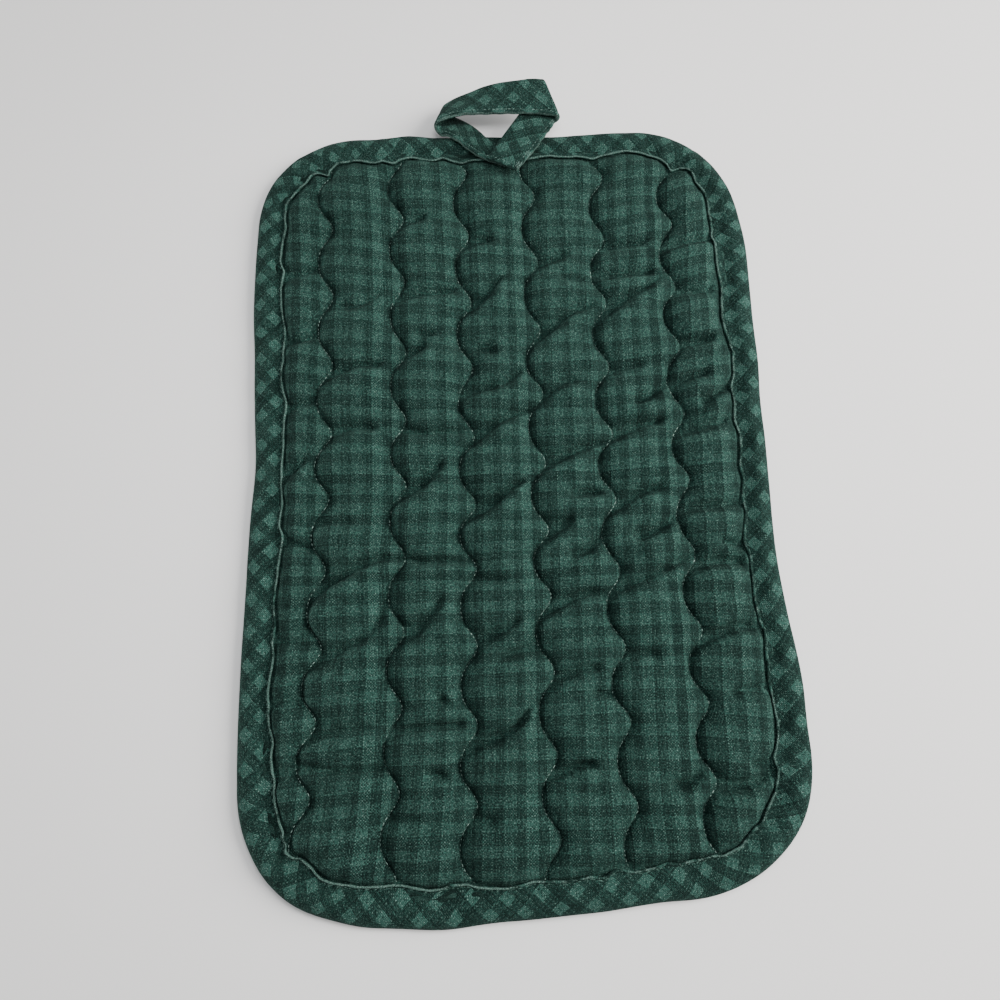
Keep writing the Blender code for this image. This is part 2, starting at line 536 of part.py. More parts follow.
def make_loop(material):
    """The hanging loop: a stiff strip turned back on itself, with both ends sewn down."""
    rows = np.array(LOOP_RULINGS, float)
    number = np.arange(len(rows))
    fine = np.linspace(0, len(rows) - 1, (len(rows) - 1) * LOOP_SPLITS + 1)
    lines = np.stack([smooth(number, rows[:, k], fine) for k in range(6)], 1)
    stitched, folded = lines[:, :3], lines[:, 3:]
    middle = (stitched + folded) / 2
    along = np.gradient(middle, axis=0)
    across = folded - stitched
    across /= np.linalg.norm(across, axis=1)[:, None]
    up = np.cross(across, along)
    up /= np.linalg.norm(up, axis=1)[:, None]
    half = LOOP_CLOTH / 2
    maker = bmesh.new()
    sections = []
    for a, b, side, normal in zip(stitched, folded, across, up):
        width = np.linalg.norm(b - a)
        outline = [
            (0, 0), (0.6, half), (width * 0.5, half), (width - 0.6, half),
            (width, 0), (width - 0.6, -half), (width * 0.5, -half), (0.6, -half),
        ]
        places = [a + side * s + normal * h for s, h in outline]
        sections.append([maker.verts.new(p) for p in places])
    for here, after in zip(sections, sections[1:]):
        for j in range(len(here)):
            on = (j + 1) % len(here)
            maker.faces.new([here[j], here[on], after[on], after[j]])
    for end in (sections[0], sections[-1]):
        for corners in ((0, 1, 7), (1, 2, 6, 7), (2, 3, 5, 6), (3, 4, 5)):
            maker.faces.new([end[k] for k in corners])
    return make_object("loop", maker, material)


def build():
    for thing in list(bpy.data.objects):
        bpy.data.objects.remove(thing)
    edge = Edge()
    make_pad(edge, cloth("check cloth", (0.032, 0.105, 0.075), 0.9))
    make_binding(edge, cloth("bias cloth", (0.028, 0.090, 0.066), 0.9))
    make_loop(cloth("loop cloth", (0.030, 0.098, 0.070), 0.9))


build()
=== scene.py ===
"""The looks of a quilted pot holder: padded check cloth, a bias binding and a hanging loop.

Every table is in millimetres on the pad's own plan: x to the right, y towards the loop and
z up from the table it lies on, all from the middle of the pad. The finished pieces are in
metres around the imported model's origin, which is under the middle of the whole thing.
"""

import json
import math

import bmesh
import bpy
import numpy as np
from mathutils import Euler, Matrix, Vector
from mathutils.bvhtree import BVHTree
from mathutils.geometry import delaunay_2d_cdt

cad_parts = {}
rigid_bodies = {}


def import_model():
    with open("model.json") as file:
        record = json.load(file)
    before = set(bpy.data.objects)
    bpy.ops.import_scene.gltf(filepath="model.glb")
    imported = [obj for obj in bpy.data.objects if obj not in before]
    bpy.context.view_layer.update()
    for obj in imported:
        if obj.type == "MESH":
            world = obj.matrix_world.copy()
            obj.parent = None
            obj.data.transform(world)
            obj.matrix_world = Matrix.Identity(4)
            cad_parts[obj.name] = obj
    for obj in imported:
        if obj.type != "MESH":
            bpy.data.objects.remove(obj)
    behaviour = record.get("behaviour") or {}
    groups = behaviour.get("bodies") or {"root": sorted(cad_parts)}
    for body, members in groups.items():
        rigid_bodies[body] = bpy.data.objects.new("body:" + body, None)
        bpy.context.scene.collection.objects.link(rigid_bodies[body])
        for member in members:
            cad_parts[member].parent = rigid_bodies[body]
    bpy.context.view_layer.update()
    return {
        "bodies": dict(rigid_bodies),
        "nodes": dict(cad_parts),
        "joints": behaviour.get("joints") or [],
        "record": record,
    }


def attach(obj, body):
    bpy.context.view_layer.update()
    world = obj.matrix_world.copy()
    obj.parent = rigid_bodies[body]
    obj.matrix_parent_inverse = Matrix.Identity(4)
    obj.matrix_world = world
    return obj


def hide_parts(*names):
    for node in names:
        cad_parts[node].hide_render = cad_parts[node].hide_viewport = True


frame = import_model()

MM = 0.001
PAD_MIDDLE = (-0.28, -8.44)  # the pad's middle, from the middle of pad and loop together

# ---------------------------------------------------------------- the pad's outline
HALF_WIDTH = 101.5
HALF_LENGTH = 155.0
CORNER_RADIUS = {"top right": 42.0, "top left": 43.0, "bottom left": 45.0, "bottom right": 51.0}

# How far the real edge wanders out (+) or in (-) from that plain shape.
EDGE_SWAY = [  # x, y, out
    (102, -97, 0.6), (102, -84, 1.0), (102, -70, 0.0), (102, -55, -1.2), (102, -36, -2.3),
    (102, -12, -2.0), (102, 12, -1.2), (102, 30, -0.7), (102, 45, 0.3), (102, 62, 0.4),
    (102, 80, 1.1), (102, 101, 1.4), (100, 120, -0.4), (95, 135, -0.7), (82, 149, -0.1),
    (62, 155, 0.0), (42, 155, -0.4), (26, 155, -1.4), (12, 155, -1.3), (-8, 155, -0.3),
    (-27, 155, -0.6), (-39, 155, 0.4), (-53, 155, -1.0), (-73, 153, -0.8), (-90, 142, 0.2),
    (-101, 118, 0.0), (-102, 95, 0.7), (-102, 66, 0.7), (-102, 47, -0.4), (-102, 30, -1.0),
    (-102, 8, -1.9), (-102, -16, -0.8), (-102, -43, 0.0), (-102, -70, 0.8), (-102, -98, 0.9),
    (-98, -127, 0.2), (-85, -145, 0.1), (-68, -154, -0.9), (-52, -155, 0.8), (-31, -155, 2.3),
    (-16, -155, 1.2), (2, -155, 0.7), (22, -155, -0.5), (38, -155, -1.8), (54, -155, -2.6),
    (74, -150, -1.5), (83, -143, -0.4), (92, -133, 0.8), (101, -112, 0.8),
]

# ---------------------------------------------------------------- the binding
BINDING_WIDTH = 11.8  # what shows of it on the top
BINDING_WIDTH_BELOW = 11.2
BINDING_HEIGHT = 5.6
LEAST_BINDING_TOP = 3.98  # its top stays above the pad's rim
BINDING_RIPPLE = 6.5  # its slanting ripples and its wide ones, along the edge
BINDING_SWAY = 17
BINDING_RIPPLE_HEIGHT = 0.5
BINDING_SWAY_HEIGHT = 0.15
BINDING_WIGGLE = 0.22  # how far its inner edge strays by chance, and the whole strip
BINDING_STRAY = 0.25
BINDING_SEED = 21
CUT_EDGE_INSET = 3.0  # the pad's cut edge, inside the binding

# The binding's inner edge, as it shows: it wanders where quilting lines and folds pull at it.
INNER_EDGE = [  # x, y
    (88.1, 113.7), (87.9, 118.7), (87.3, 122.7), (85.3, 125.7), (83.8, 128.6), (83.3, 132.1),
    (81.4, 134.6), (78.4, 135.1), (75.4, 134.1), (73.9, 133.6), (72.4, 137.1), (70.4, 139.6),
    (65.5, 141.5), (59.5, 143.3), (56.5, 144.1), (53.5, 144.0), (50.6, 143.0), (43.6, 141.5),
    (40.6, 140.1), (33.7, 141.7), (29.7, 141.3), (21.8, 142.0), (11.8, 141.1), (-8.1, 141.5),
    (-13.0, 141.1), (-16.0, 139.6), (-23.9, 142.5), (-27.9, 141.1), (-31.9, 142.0), (-37.9, 142.9),
    (-41.8, 142.0), (-44.8, 139.6), (-49.8, 141.4), (-52.8, 140.1), (-59.7, 141.7), (-65.7, 141.1),
    (-69.6, 140.1), (-71.6, 137.6), (-72.6, 134.6), (-74.6, 135.1), (-77.6, 136.1), (-79.6, 135.6),
    (-81.6, 131.6), (-89.8, 120.7), (-89.5, 110.8), (-90.0, 106.8), (-91.1, 98.8), (-91.5, 94.9),
    (-90.5, 91.9), (-89.5, 89.9), (-90.7, 82.9), (-90.5, 74.0), (-90.0, 69.0), (-89.0, 65.1),
    (-88.7, 61.1), (-89.5, 54.1), (-89.2, 51.1), (-89.8, 46.2), (-89.7, 42.2), (-88.3, 35.3),
    (-87.5, 32.8), (-88.1, 24.3), (-88.5, 14.4), (-88.9, 4.5), (-88.7, -0.5), (-88.0, -8.5),
    (-89.0, -16.4), (-87.5, -20.4), (-88.3, -28.3), (-89.5, -38.3), (-90.3, -45.2), (-89.3, -54.2),
    (-90.3, -60.1), (-89.7, -64.1), (-91.0, -75.0), (-91.3, -80.0), (-90.3, -89.9), (-89.2, -93.9),
    (-89.7, -99.9), (-88.5, -106.8), (-87.3, -116.7), (-86.5, -119.7), (-85.1, -123.7),
    (-84.5, -126.7), (-83.6, -127.7), (-84.3, -129.7), (-81.6, -131.6), (-78.6, -132.1),
    (-75.6, -134.6), (-71.6, -138.6), (-68.7, -140.1), (-63.7, -140.8), (-59.7, -141.9),
    (-44.8, -142.0), (-41.8, -143.1), (-37.9, -144.0), (-30.9, -144.1), (-27.9, -142.9),
    (-22.5, -142.6), (-20.0, -143.6), (-15.0, -144.6), (-10.0, -144.9), (-5.1, -144.6),
    (-0.1, -143.4), (9.8, -143.7), (19.8, -142.8), (24.7, -143.2), (27.7, -141.1), (29.7, -140.6),
    (33.7, -142.0), (41.6, -141.2), (46.6, -140.0), (49.6, -140.6), (53.5, -139.2), (59.5, -138.6),
    (63.5, -138.1), (65.5, -138.1), (67.4, -137.4), (70.4, -136.6), (71.4, -136.1), (74.4, -133.6),
    (75.4, -132.6), (78.4, -129.7), (79.4, -129.7), (82.4, -124.7), (85.3, -119.7), (86.8, -116.7),
    (87.9, -112.8), (87.3, -106.8), (89.6, -99.9), (90.1, -94.9), (89.8, -89.9), (88.6, -80.0),
    (89.5, -63.1), (88.8, -60.1), (87.5, -52.2), (87.9, -48.2), (87.9, -34.3), (86.1, -28.3),
    (87.5, -22.4), (88.3, -16.4), (87.3, -12.9), (88.6, -4.5), (87.7, 1.5), (88.9, 7.4),
    (89.3, 15.4), (87.8, 18.9), (88.9, 26.3), (88.3, 33.8), (90.1, 39.2), (90.5, 44.2),
    (90.8, 49.2), (89.8, 52.1), (88.8, 59.1), (88.0, 65.1), (89.1, 74.0), (89.3, 80.9),
    (88.9, 88.9), (88.9, 98.8), (87.6, 101.3), (88.6, 103.8),
]
EDGE_SOFTNESS = 0.9

# ---------------------------------------------------------------- the quilting
CREST = 8.1  # the pad's full thickness, between two lines
SEWN_TOP = 3.9  # its top and underside along a quilting line
SEWN_UNDER = 1.4
SEAM_GROOVE = 0.62  # how much deeper the thread itself draws the cloth in
SEAM_GROOVE_WIDTH = 0.6
SEAM_GROOVE_LEFT = 0.15  # its bottom lies this far to the left of the line
FACE_START = 0.3  # how far inside the binding's inner edge the cloth starts to rise
RIM_TOP = 3.4  # its top inside the binding
PUFF_REACH = 12.5  # how far from a seam the filling is full
SWELL_POWER = 0.58  # the lower, the steeper it rises at the seam
GROOVE_REACH = 4.2  # the same on the underside, which lies flat between the seams
LINE_SWING = 3.0
LINE_SHARPNESS = 0.15  # the right-hand turns are a little tighter
LINE_PERIOD = 28.2
LINE_PLACES = (140.0, 0.0, -135.0)

# Six lines are sewn from the top to the bottom. Each row has the line's middle at
# LINE_PLACES and the heights at which it turns back from the right.
LINES = [  # x at the top, middle and bottom; y of each turn from the right
    ((-74.7, -73.9, -81.1), (109.3, 78.1, 48.3, 19.2, -6.9, -34.2, -62.9, -88.6, -114.3)),
    ((-45.0, -44.8, -49.6), (141.7, 113.2, 84.1, 53.0, 23.9, -2.6, -30.5, -58.1, -84.5, -113.5)),
    ((-17.4, -18.2, -22.1), (134.8, 105.0, 74.1, 45.1, 16.7, -10.7, -35.4, -64.1, -91.7, -118.3)),
    ((11.6, 9.2, 6.9), (122.6, 92.0, 60.9, 33.7, 4.8, -21.5, -46.7, -74.3, -103.1, -130.7)),
    ((41.3, 35.7, 34.6), (131.0, 102.0, 72.1, 44.3, 15.8, -10.6, -38.4, -66.6, -92.9, -121.1)),
    ((70.2, 64.9, 62.8), (135.1, 107.9, 79.1, 52.0, 23.2, -3.9, -33.0, -61.6, -87.6, -114.1)),
]
SIDE_SEAM = (-89.7, 89.0)  # the binding's inner edges, where the outer channels end

# Soft folds that cross the channels. A channel is numbered by the line on its left, and
# a fold runs between two shares of the channel's width, through three heights.
FOLDS = [  # channel, from, to, y at the left, middle and right, depth, half width
    (0, 0.0, 1.0, 87.9, 87.9, 92.2, 3.2, 2.6),
    (0, 0.0, 1.0, 59.8, 59.3, 62.1, 5.2, 2.4),
    (0, 0.0, 1.0, 31.2, 31.5, 33.8, 3.8, 2.4),
    (0, 0.0, 0.8, 1.1, 4.2, 9.0, 4.5, 2.4),
    (0, 0.0, 1.0, -20.5, -23.0, -26.0, 5.0, 2.2),
    (0, 0.0, 1.0, -56.8, -59.6, -60.0, 2.8, 2.4),
    (0, 0.0, 0.9, -80.8, -80.8, -81.2, 3.1, 2.4),
    (0, 0.0, 1.0, -105.9, -104.6, -103.9, 3.1, 2.4),
    (0, 0.0, 1.0, -129.9, -129.5, -127.5, 4.2, 2.6),
    (1, 0.1, 0.8, 74.9, 72.4, 79.7, 2.6, 2.4),
    (1, 0.0, 0.8, 43.0, 47.0, 46.6, 4.5, 3.0),
    (1, 0.0, 0.7, 21.0, 21.9, 20.9, 4.4, 3.0),
    (1, 0.0, 0.6, -15.1, -15.5, -15.5, 2.3, 3.0),
    (1, 0.0, 1.0, -45.7, -34.0, -31.6, 5.5, 2.6),
    (1, 0.0, 1.0, -68.0, -61.6, -47.3, 3.0, 3.2),
    (1, 0.0, 0.8, -93.7, -90.5, -90.9, 2.9, 2.8),
    (1, 0.0, 1.0, -101.8, -103.5, -103.0, 4.8, 2.0),
    (2, 0.0, 0.5, 110.4, 112.3, 114.4, 3.4, 2.8),
    (2, 0.0, 0.9, 76.0, 78.5, 79.0, 5.7, 2.6),
    (2, 0.0, 0.5, 50.7, 53.0, 56.0, 4.5, 2.6),
    (2, 0.0, 1.0, 21.0, 18.7, 20.0, 4.9, 2.0),
    (2, 0.0, 0.8, -7.3, -2.3, 5.2, 4.6, 2.6),
    (2, 0.0, 1.0, -31.1, -31.8, -31.2, 5.4, 2.2),
    (2, 0.0, 0.8, -59.4, -55.9, -46.4, 3.9, 2.8),
    (2, 0.0, 0.9, -92.2, -90.8, -90.6, 4.8, 2.4),
    (2, 0.0, 0.5, -120.4, -120.8, -121.3, 2.3, 3.0),
    (2, 0.25, 0.7, 59.2, 60.2, 59.8, 3.8, 2.2),
    (2, 0.5, 0.8, -81.4, -81.2, -82.0, 3.9, 2.6),
    (2, 0.4, 0.85, -106.6, -106.3, -108.6, 3.8, 2.4),
    (3, 0.0, 0.5, 98.7, 101.8, 101.2, 5.3, 2.6),
    (3, 0.0, 0.7, 70.3, 75.8, 85.0, 3.9, 2.6),
    (3, 0.0, 0.9, 33.0, 36.0, 42.8, 3.7, 2.6),
    (3, 0.0, 1.0, 14.7, 20.6, 25.2, 5.1, 2.6),
    (3, 0.0, 0.9, -17.0, -9.5, -3.1, 6.6, 2.4),
    (3, 0.0, 0.6, -38.1, -39.1, -39.7, 2.9, 3.0),
    (3, 0.0, 0.8, -62.1, -59.7, -54.9, 4.1, 2.6),
    (3, 0.3, 1.0, -69.5, -66.7, -65.5, 5.5, 2.4),
    (3, 0.0, 0.9, -99.0, -96.7, -87.7, 5.8, 2.4),
    (3, 0.0, 0.4, -122.9, -122.3, -123.3, 2.8, 3.0),
    (3, 0.1, 0.55, 52.8, 53.0, 52.0, 4.0, 2.6),
    (4, 0.6, 1.0, -80.9, -82.0, -82.3, 4.1, 2.2),
    (4, 0.0, 0.6, 90.3, 92.3, 94.5, 4.1, 3.0),
    (4, 0.4, 1.0, 85.5, 82.7, 82.6, 2.5, 2.4),
    (4, 0.0, 0.9, 54.9, 64.9, 70.3, 4.4, 2.8),
    (4, 0.0, 0.7, 30.2, 36.0, 36.5, 3.1, 2.8),
    (4, 0.0, 1.0, 3.8, 7.4, 12.4, 6.0, 2.4),
    (4, 0.4, 0.9, -8.2, -7.7, -7.5, 5.5, 2.4),
    (4, 0.0, 0.5, -24.9, -21.1, -18.6, 5.2, 2.8),
    (4, 0.4, 1.0, -33.0, -30.5, -26.2, 5.5, 2.4),
    (4, 0.0, 1.0, -53.9, -47.5, -48.4, 7.0, 2.4),
    (4, 0.0, 0.8, -77.6, -74.0, -73.9, 3.8, 2.6),
    (4, 0.0, 0.7, -109.8, -106.8, -106.8, 5.5, 2.2),
    (5, 0.0, 0.8, 96.2, 97.9, 98.2, 4.0, 2.8),
    (5, 0.0, 0.9, 84.7, 84.5, 87.1, 5.7, 2.8),
    (5, 0.0, 0.9, 64.3, 74.6, 81.6, 4.7, 3.4),
    (5, 0.0, 0.6, 41.9, 43.4, 44.7, 3.4, 3.0),
    (5, 0.4, 1.0, 27.6, 30.8, 35.7, 5.9, 2.4),
    (5, 0.0, 0.8, 13.9, 17.5, 20.1, 5.6, 2.8),
    (5, 0.0, 0.7, -15.6, -10.2, -7.1, 4.8, 3.2),
    (5, 0.3, 1.0, -26.9, -24.3, -18.7, 6.0, 2.4),
    (5, 0.0, 1.0, -47.9, -41.3, -34.7, 3.6, 2.6),
    (5, 0.0, 0.6, -71.0, -68.3, -70.6, 3.5, 2.8),
    (5, 0.4, 0.9, -115.5, -114.2, -110.9, 4.6, 2.4),
    (6, 0.0, 1.0, 96.3, 98.3, 100.8, 6.3, 2.4),
    (6, 0.0, 0.9, 77.6, 76.4, 78.6, 3.3, 3.2),
    (6, 0.0, 0.8, 52.9, 53.3, 55.7, 6.3, 2.6),
    (6, 0.0, 0.7, 34.9, 37.7, 40.0, 4.1, 2.8),
    (6, 0.3, 1.0, 26.3, 29.2, 34.6, 4.5, 2.4),
    (6, 0.0, 0.9, 14.7, 16.3, 21.0, 3.9, 3.0),
    (6, 0.0, 1.0, -16.0, -14.5, -13.2, 4.5, 2.4),
    (6, 0.4, 1.0, -27.8, -29.2, -30.1, 5.1, 2.2),
    (6, 0.0, 0.9, -38.7, -35.7, -37.1, 6.9, 2.6),
    (6, 0.0, 1.0, -66.0, -61.2, -62.1, 7.0, 2.4),
    (6, 0.3, 1.0, -84.4, -82.8, -83.3, 3.8, 2.2),
    (6, 0.5, 1.0, -108.8, -108.6, -106.8, 4.0, 2.2),
    (6, 0.0, 1.0, -116.0, -115.6, -110.7, 6.9, 2.6),
]
FOLD_FADE = 0.14  # share of a channel over which a fold's free end fades
FOLD_FULL_CLIMB = 10.0  # a fold that climbs this far to the right leans fully
FOLD_DROP = 0.8  # how far a fold's bottom lies below its line
FOLD_LEANING_LIFT = 1.9  # and how far up that moves if it leans fully
FOLD_WANDER = 0.5
FOLD_WIDER = (0.45, 0.85)  # a leaning fold is wider at its left end and narrower at its right
FOLD_DEEPER = (0.35, 0.4)  # and deeper at its left end
FOLD_SOFT_SHARE = 0.55  # how much of it is a rounded trough, and how much a sharp one
FOLD_SHARP_SHARE = 0.45
FOLD_CROWN_ABOVE = 0.04  # how much the filling bulges beside it, as shares of its depth
FOLD_CROWN_BELOW = 0.16
FOLD_CROWN_LEANING = 0.26

# Creases that cross the binding along its lower edge and round its lower right corner.
BINDING_CREASES = [  # x and y of both ends, half width, depth
    (-26.0, -143.0, -38.0, -155.0, 1.3, 0.6), (-20.0, -146.0, -26.0, -156.0, 1.2, 0.5),
    (28.0, -143.0, 27.0, -152.0, 1.2, 0.5), (74.0, -133.0, 80.0, -140.0, 1.5, 0.6),
    (81.0, -127.0, 88.0, -134.0, 1.5, 0.6), (88.0, -121.0, 95.0, -128.0, 1.5, 0.6),
]

# The loop's sewn ends press the pad and the binding down here.
LOOP_PRESS = {
    "middle": (4.0, 137.0), "reach": (11.5, 8.0), "share": 0.93,
    "on the binding": 24.0, "height": 4.75,
}

# ---------------------------------------------------------------- the hanging loop
LOOP_CLOTH = 1.8  # a strip folded in four
# Straight lines across the strip, from its stitched edge to its folded edge.
LOOP_RULINGS = [  # x, y, z at the stitched edge; x, y, z at the folded edge
    (5.8, 135.4, 6.5, 7.5, 146.0, 6.4),  # lower end, sewn down
    (-0.4, 137.6, 6.6, 1.8, 147.0, 6.3),
    (-6.2, 140.1, 6.6, -3.6, 149.6, 6.2),
    (-12.5, 144.4, 6.9, -7.4, 154.4, 5.4),
    (-17.0, 148.7, 7.1, -10.9, 158.4, 4.5),
    (-21.5, 151.7, 7.1, -15.1, 162.2, 3.2),
    (-24.4, 152.5, 6.8, -18.3, 164.8, 2.4),
    (-25.9, 153.8, 7.1, -20.4, 166.8, 2.7),  # the soft turn on the left
    (-26.4, 154.9, 8.4, -21.9, 167.6, 4.0),
    (-25.9, 155.5, 10.0, -22.2, 167.8, 5.6),
    (-23.8, 155.8, 11.6, -20.9, 168.0, 7.0),
    (-19.8, 156.8, 12.3, -17.3, 169.4, 8.1),  # the band across the top
    (-14.3, 157.5, 12.7, -11.6, 170.6, 9.7),
    (-6.5, 157.5, 12.7, -5.0, 172.0, 11.7),
    (1.8, 157.9, 12.3, 2.4, 172.9, 13.0),
    (11.1, 158.1, 11.9, 9.8, 173.5, 13.4),
    (17.0, 158.0, 11.6, 13.9, 174.0, 13.5),
    (21.6, 157.6, 11.5, 16.9, 174.1, 13.5),
    (24.5, 157.0, 11.4, 18.9, 173.9, 13.4),  # the flat turn on the right
    (25.7, 157.2, 11.0, 20.0, 174.1, 13.0),
    (26.2, 157.1, 9.9, 20.4, 174.1, 11.9),
    (25.8, 156.8, 8.8, 19.9, 173.8, 10.8),
    (24.6, 155.9, 8.4, 18.6, 172.8, 10.4),
    (23.0, 153.3, 8.3, 13.6, 166.0, 9.7),
    (21.6, 151.4, 8.5, 9.3, 159.9, 9.2),
    (19.6, 148.5, 8.8, 5.9, 155.0, 9.0),
    (16.1, 143.3, 8.9, 1.6, 148.9, 8.8),
    (11.3, 137.4, 8.8, -3.0, 141.9, 8.7),
    (7.2, 132.6, 8.6, -5.6, 138.9, 8.7),  # upper end, sewn down
]

# ---------------------------------------------------------------- how finely it is cut up
PLAIN_STEP = 0.5
EDGE_POINTS = 460
EDGE_BIAS = 3.0
ROW_PITCH = 0.86
COLUMNS = 31  # in a full channel, closer together towards its seams
COLUMN_BIAS = 0.62
UNDER_ROW_PITCH = 2.4
UNDER_COLUMNS = 10
FACE_RINGS = (0.3, 0.75, 1.3, 2.1, 3.1)  # rings of points, inside the binding's inner edge
UNDER_RINGS = (0.5, 1.5, 3.0, 4.8)
HIDDEN_RING = 7.0  # and one inside the binding, from the edge
BINDING_STATIONS = 760
LOOP_SPLITS = 9

# ---------------------------------------------------------------- the filling, blown up as cloth
PUFF_PITCH = 1.35  # rows of the cloth that is simulated
PUFF_COLUMNS = 21
PUFF_FRAMES = 20
PUFF_PRESSURE = 2.0
PUFF_SPARE = 0.02  # spare cloth, as a share of its size
PUFF_STIFFNESS = 15.0
PUFF_HELD = 1.6  # a fold this deep holds the cloth down
PUFF_CAP = 1.1  # how far a point of the cloth may move
PUFF_RINGS = (0.75, 2.1)  # its rings of points, inside the binding's inner edge

# ---------------------------------------------------------------- the cloth
YARN = 0.55  # from one yarn to the next
CHECK_AROUND = 8.4  # repeats of the check across and along the cloth
CHECK_ALONG = 8.4
CHECK_START = (0.0, 0.0)  # where the first light stripes start on the pad
CHECK_DRIFT = (  # how far the check has drifted, across and along: 1, x, y, x*x, x*y, y*y
    (2.87, -7.47, 4.05, -0.11, 0.95, -1.9),
    (-0.15, -0.86, 2.36, 3.86, 2.82, 3.6),
)
PUCKER_EVERY = 3.0  # small creases that run off the seams
PUCKER_GAPS = {"quilting": (0.45, 1.6), "binding": (0.6, 1.9)}  # least and most, as its shares
PUCKER_TURNS = {"quilting": 0.35, "binding": 0.4}  # how far they turn, in radians
PUCKER_SEED = 11
PUCKER_LENGTH = (2.0, 1.7, 1.2)  # shape, scale and least, in a gamma spread
PUCKER_WIDTH = (0.45, 0.95)
PUCKER_FULL_LENGTH = 4
PUCKER_DEPTH = (0.25, 0.85)  # of one that long
PUCKER_DEEPEST = 1.3  # a longer one is deeper, up to this many times
PUCKER_RIDGES = 0.35  # this share of them stands up instead, by this share of the depth
PUCKER_RIDGE_HEIGHT = 0.6
UNEVEN_SEED = 5
PUFF_WAVES = [  # height, and size in x and y, of the uneven filling's waves
    (0.6, 17, 13), (0.45, 10, 5.5),
]
FINE_WAVES = 0.22

# ---------------------------------------------------------------- the stitches
QUILTING_STITCH = {"Pitch": 1.7, "Length": 1.3, "Thread": 0.3}
BINDING_STITCH = {"Pitch": 2.5, "Length": 2.1, "Thread": 0.36}
LOOP_STITCH = {"Pitch": 1.7, "Length": 1.4, "Thread": 0.32}
STITCH_UNEVENNESS = 0.18


# ================================================================ curves
def smooth(places, values, at, period=None):
    """A smooth curve through (places, values), read at the given places."""
    places = np.asarray(places, float)
    values = np.asarray(values, float)
    if period:
        order = np.argsort(places)
        places = places[order]
        values = values[order]
        places = np.concatenate([places[-2:] - period, places, places[:2] + period])
        values = np.concatenate([values[-2:], values, values[:2]])
    slopes = np.gradient(values, places)
    i = np.clip(np.searchsorted(places, at) - 1, 0, len(places) - 2)
    gap = places[i + 1] - places[i]
    t = (at - places[i]) / gap
    return (
        values[i] * (1 + 2 * t) * (1 - t) ** 2
        + slopes[i] * gap * t * (1 - t) ** 2
        + values[i + 1] * t * t * (3 - 2 * t)
        + slopes[i + 1] * gap * t * t * (t - 1)
    )


def ease(t):
    """0 to 1, flat at both ends."""
    t = np.clip(t, 0, 1)
    return t * t * (3 - 2 * t)


def straight_run(before, after):
    """Points PLAIN_STEP apart between two places, without the places themselves."""
    run = np.linalg.norm(after - before)
    share = np.arange(1, round(run / PLAIN_STEP))[:, None] * PLAIN_STEP / run
    return before + share * (after - before)


class Edge:
    """The pad's outline: a rounded rectangle, and how its real edge wanders from it."""

    def __init__(self, count):
        self.points, self.outward = self.plain_outline()
        steps = np.linalg.norm(np.roll(self.points, -1, 0) - self.points, axis=1)
        self.round = float(steps.sum())
        self.places = np.concatenate([[0.0], np.cumsum(steps)[:-1]])
        rows = np.array(EDGE_SWAY, float)
        self.sway = smooth(self.place_of(rows[:, :2]), rows[:, 2], self.places, self.round)
        self.notch = self.notches()
        pull = 1 + EDGE_BIAS * np.abs(np.gradient(self.notch, self.places))
        share = np.cumsum(pull) / pull.sum()
        self.stations = np.searchsorted(share, np.arange(count) / count)

    @staticmethod
    def plain_outline():
        """The rounded rectangle, from the lower right corner and on to the left."""
        corners = [
            ("top right", 1, 1, 0.0), ("top left", -1, 1, 90.0),
            ("bottom left", -1, -1, 180.0), ("bottom right", 1, -1, 270.0),
        ]
        points = []
        outward = []
        for name, x_side, y_side, start in corners:
            radius = CORNER_RADIUS[name]
            middle = np.array([x_side * (HALF_WIDTH - radius), y_side * (HALF_LENGTH - radius)])
            count = round(radius * math.pi / 2 / PLAIN_STEP)
            angle = np.radians(start + np.linspace(0, 90, count + 1))
            spoke = np.stack([np.cos(angle), np.sin(angle)], 1)
            arc = middle + radius * spoke
            if points:
                points.append(straight_run(points[-1][-1], arc[0]))
                outward.append(np.repeat(spoke[:1], len(points[-1]), 0))
            points.append(arc)
            outward.append(spoke)
        points.append(straight_run(points[-1][-1], points[0][0]))
        outward.append(np.repeat(outward[0][:1], len(points[-1]), 0))
        return np.concatenate(points), np.concatenate(outward)

    def nearest(self, xy):
        """The index of the plain outline's point nearest to each place."""
        xy = np.asarray(xy, float).reshape(-1, 2)
        found = np.empty(len(xy), int)
        for first in range(0, len(xy), 500):
            part = xy[first:first + 500, None] - self.points[None]
            found[first:first + 500] = np.argmin((part ** 2).sum(2), axis=1)
        return found

    def place_of(self, xy):
        """How far round the edge, in mm, each place lies."""
        return self.places[self.nearest(xy)]

    def notches(self):
        """How much wider the binding shows at each point of the plain outline."""
        shown = np.array(INNER_EDGE, float)
        i = self.nearest(shown)
        width = ((self.points[i] - shown) * self.outward[i]).sum(1) + self.sway[i]
        order = np.argsort(i)
        width = np.interp(self.places, self.places[i][order], width[order], period=self.round)
        away = np.minimum(self.places, self.round - self.places)
        soft = np.exp(-((away / EDGE_SOFTNESS) ** 2))
        soft /= soft.sum()
        return np.fft.irfft(np.fft.rfft(width) * np.fft.rfft(soft), len(width)) - BINDING_WIDTH

    def inset(self, xy):
        """How far inside the edge each place lies, and how wide the binding is there."""
        i = self.nearest(xy)
        inside = ((self.points[i] - xy) * self.outward[i]).sum(1) + self.sway[i]
        return inside, BINDING_WIDTH + self.notch[i]

    def ring(self, inset, at_notch=0.0):
        """A closed run of points that far inside the edge, or inside the binding."""
        i = self.stations
        back = self.sway[i] - inset - at_notch * self.notch[i]
        return self.points[i] + self.outward[i] * back[:, None]


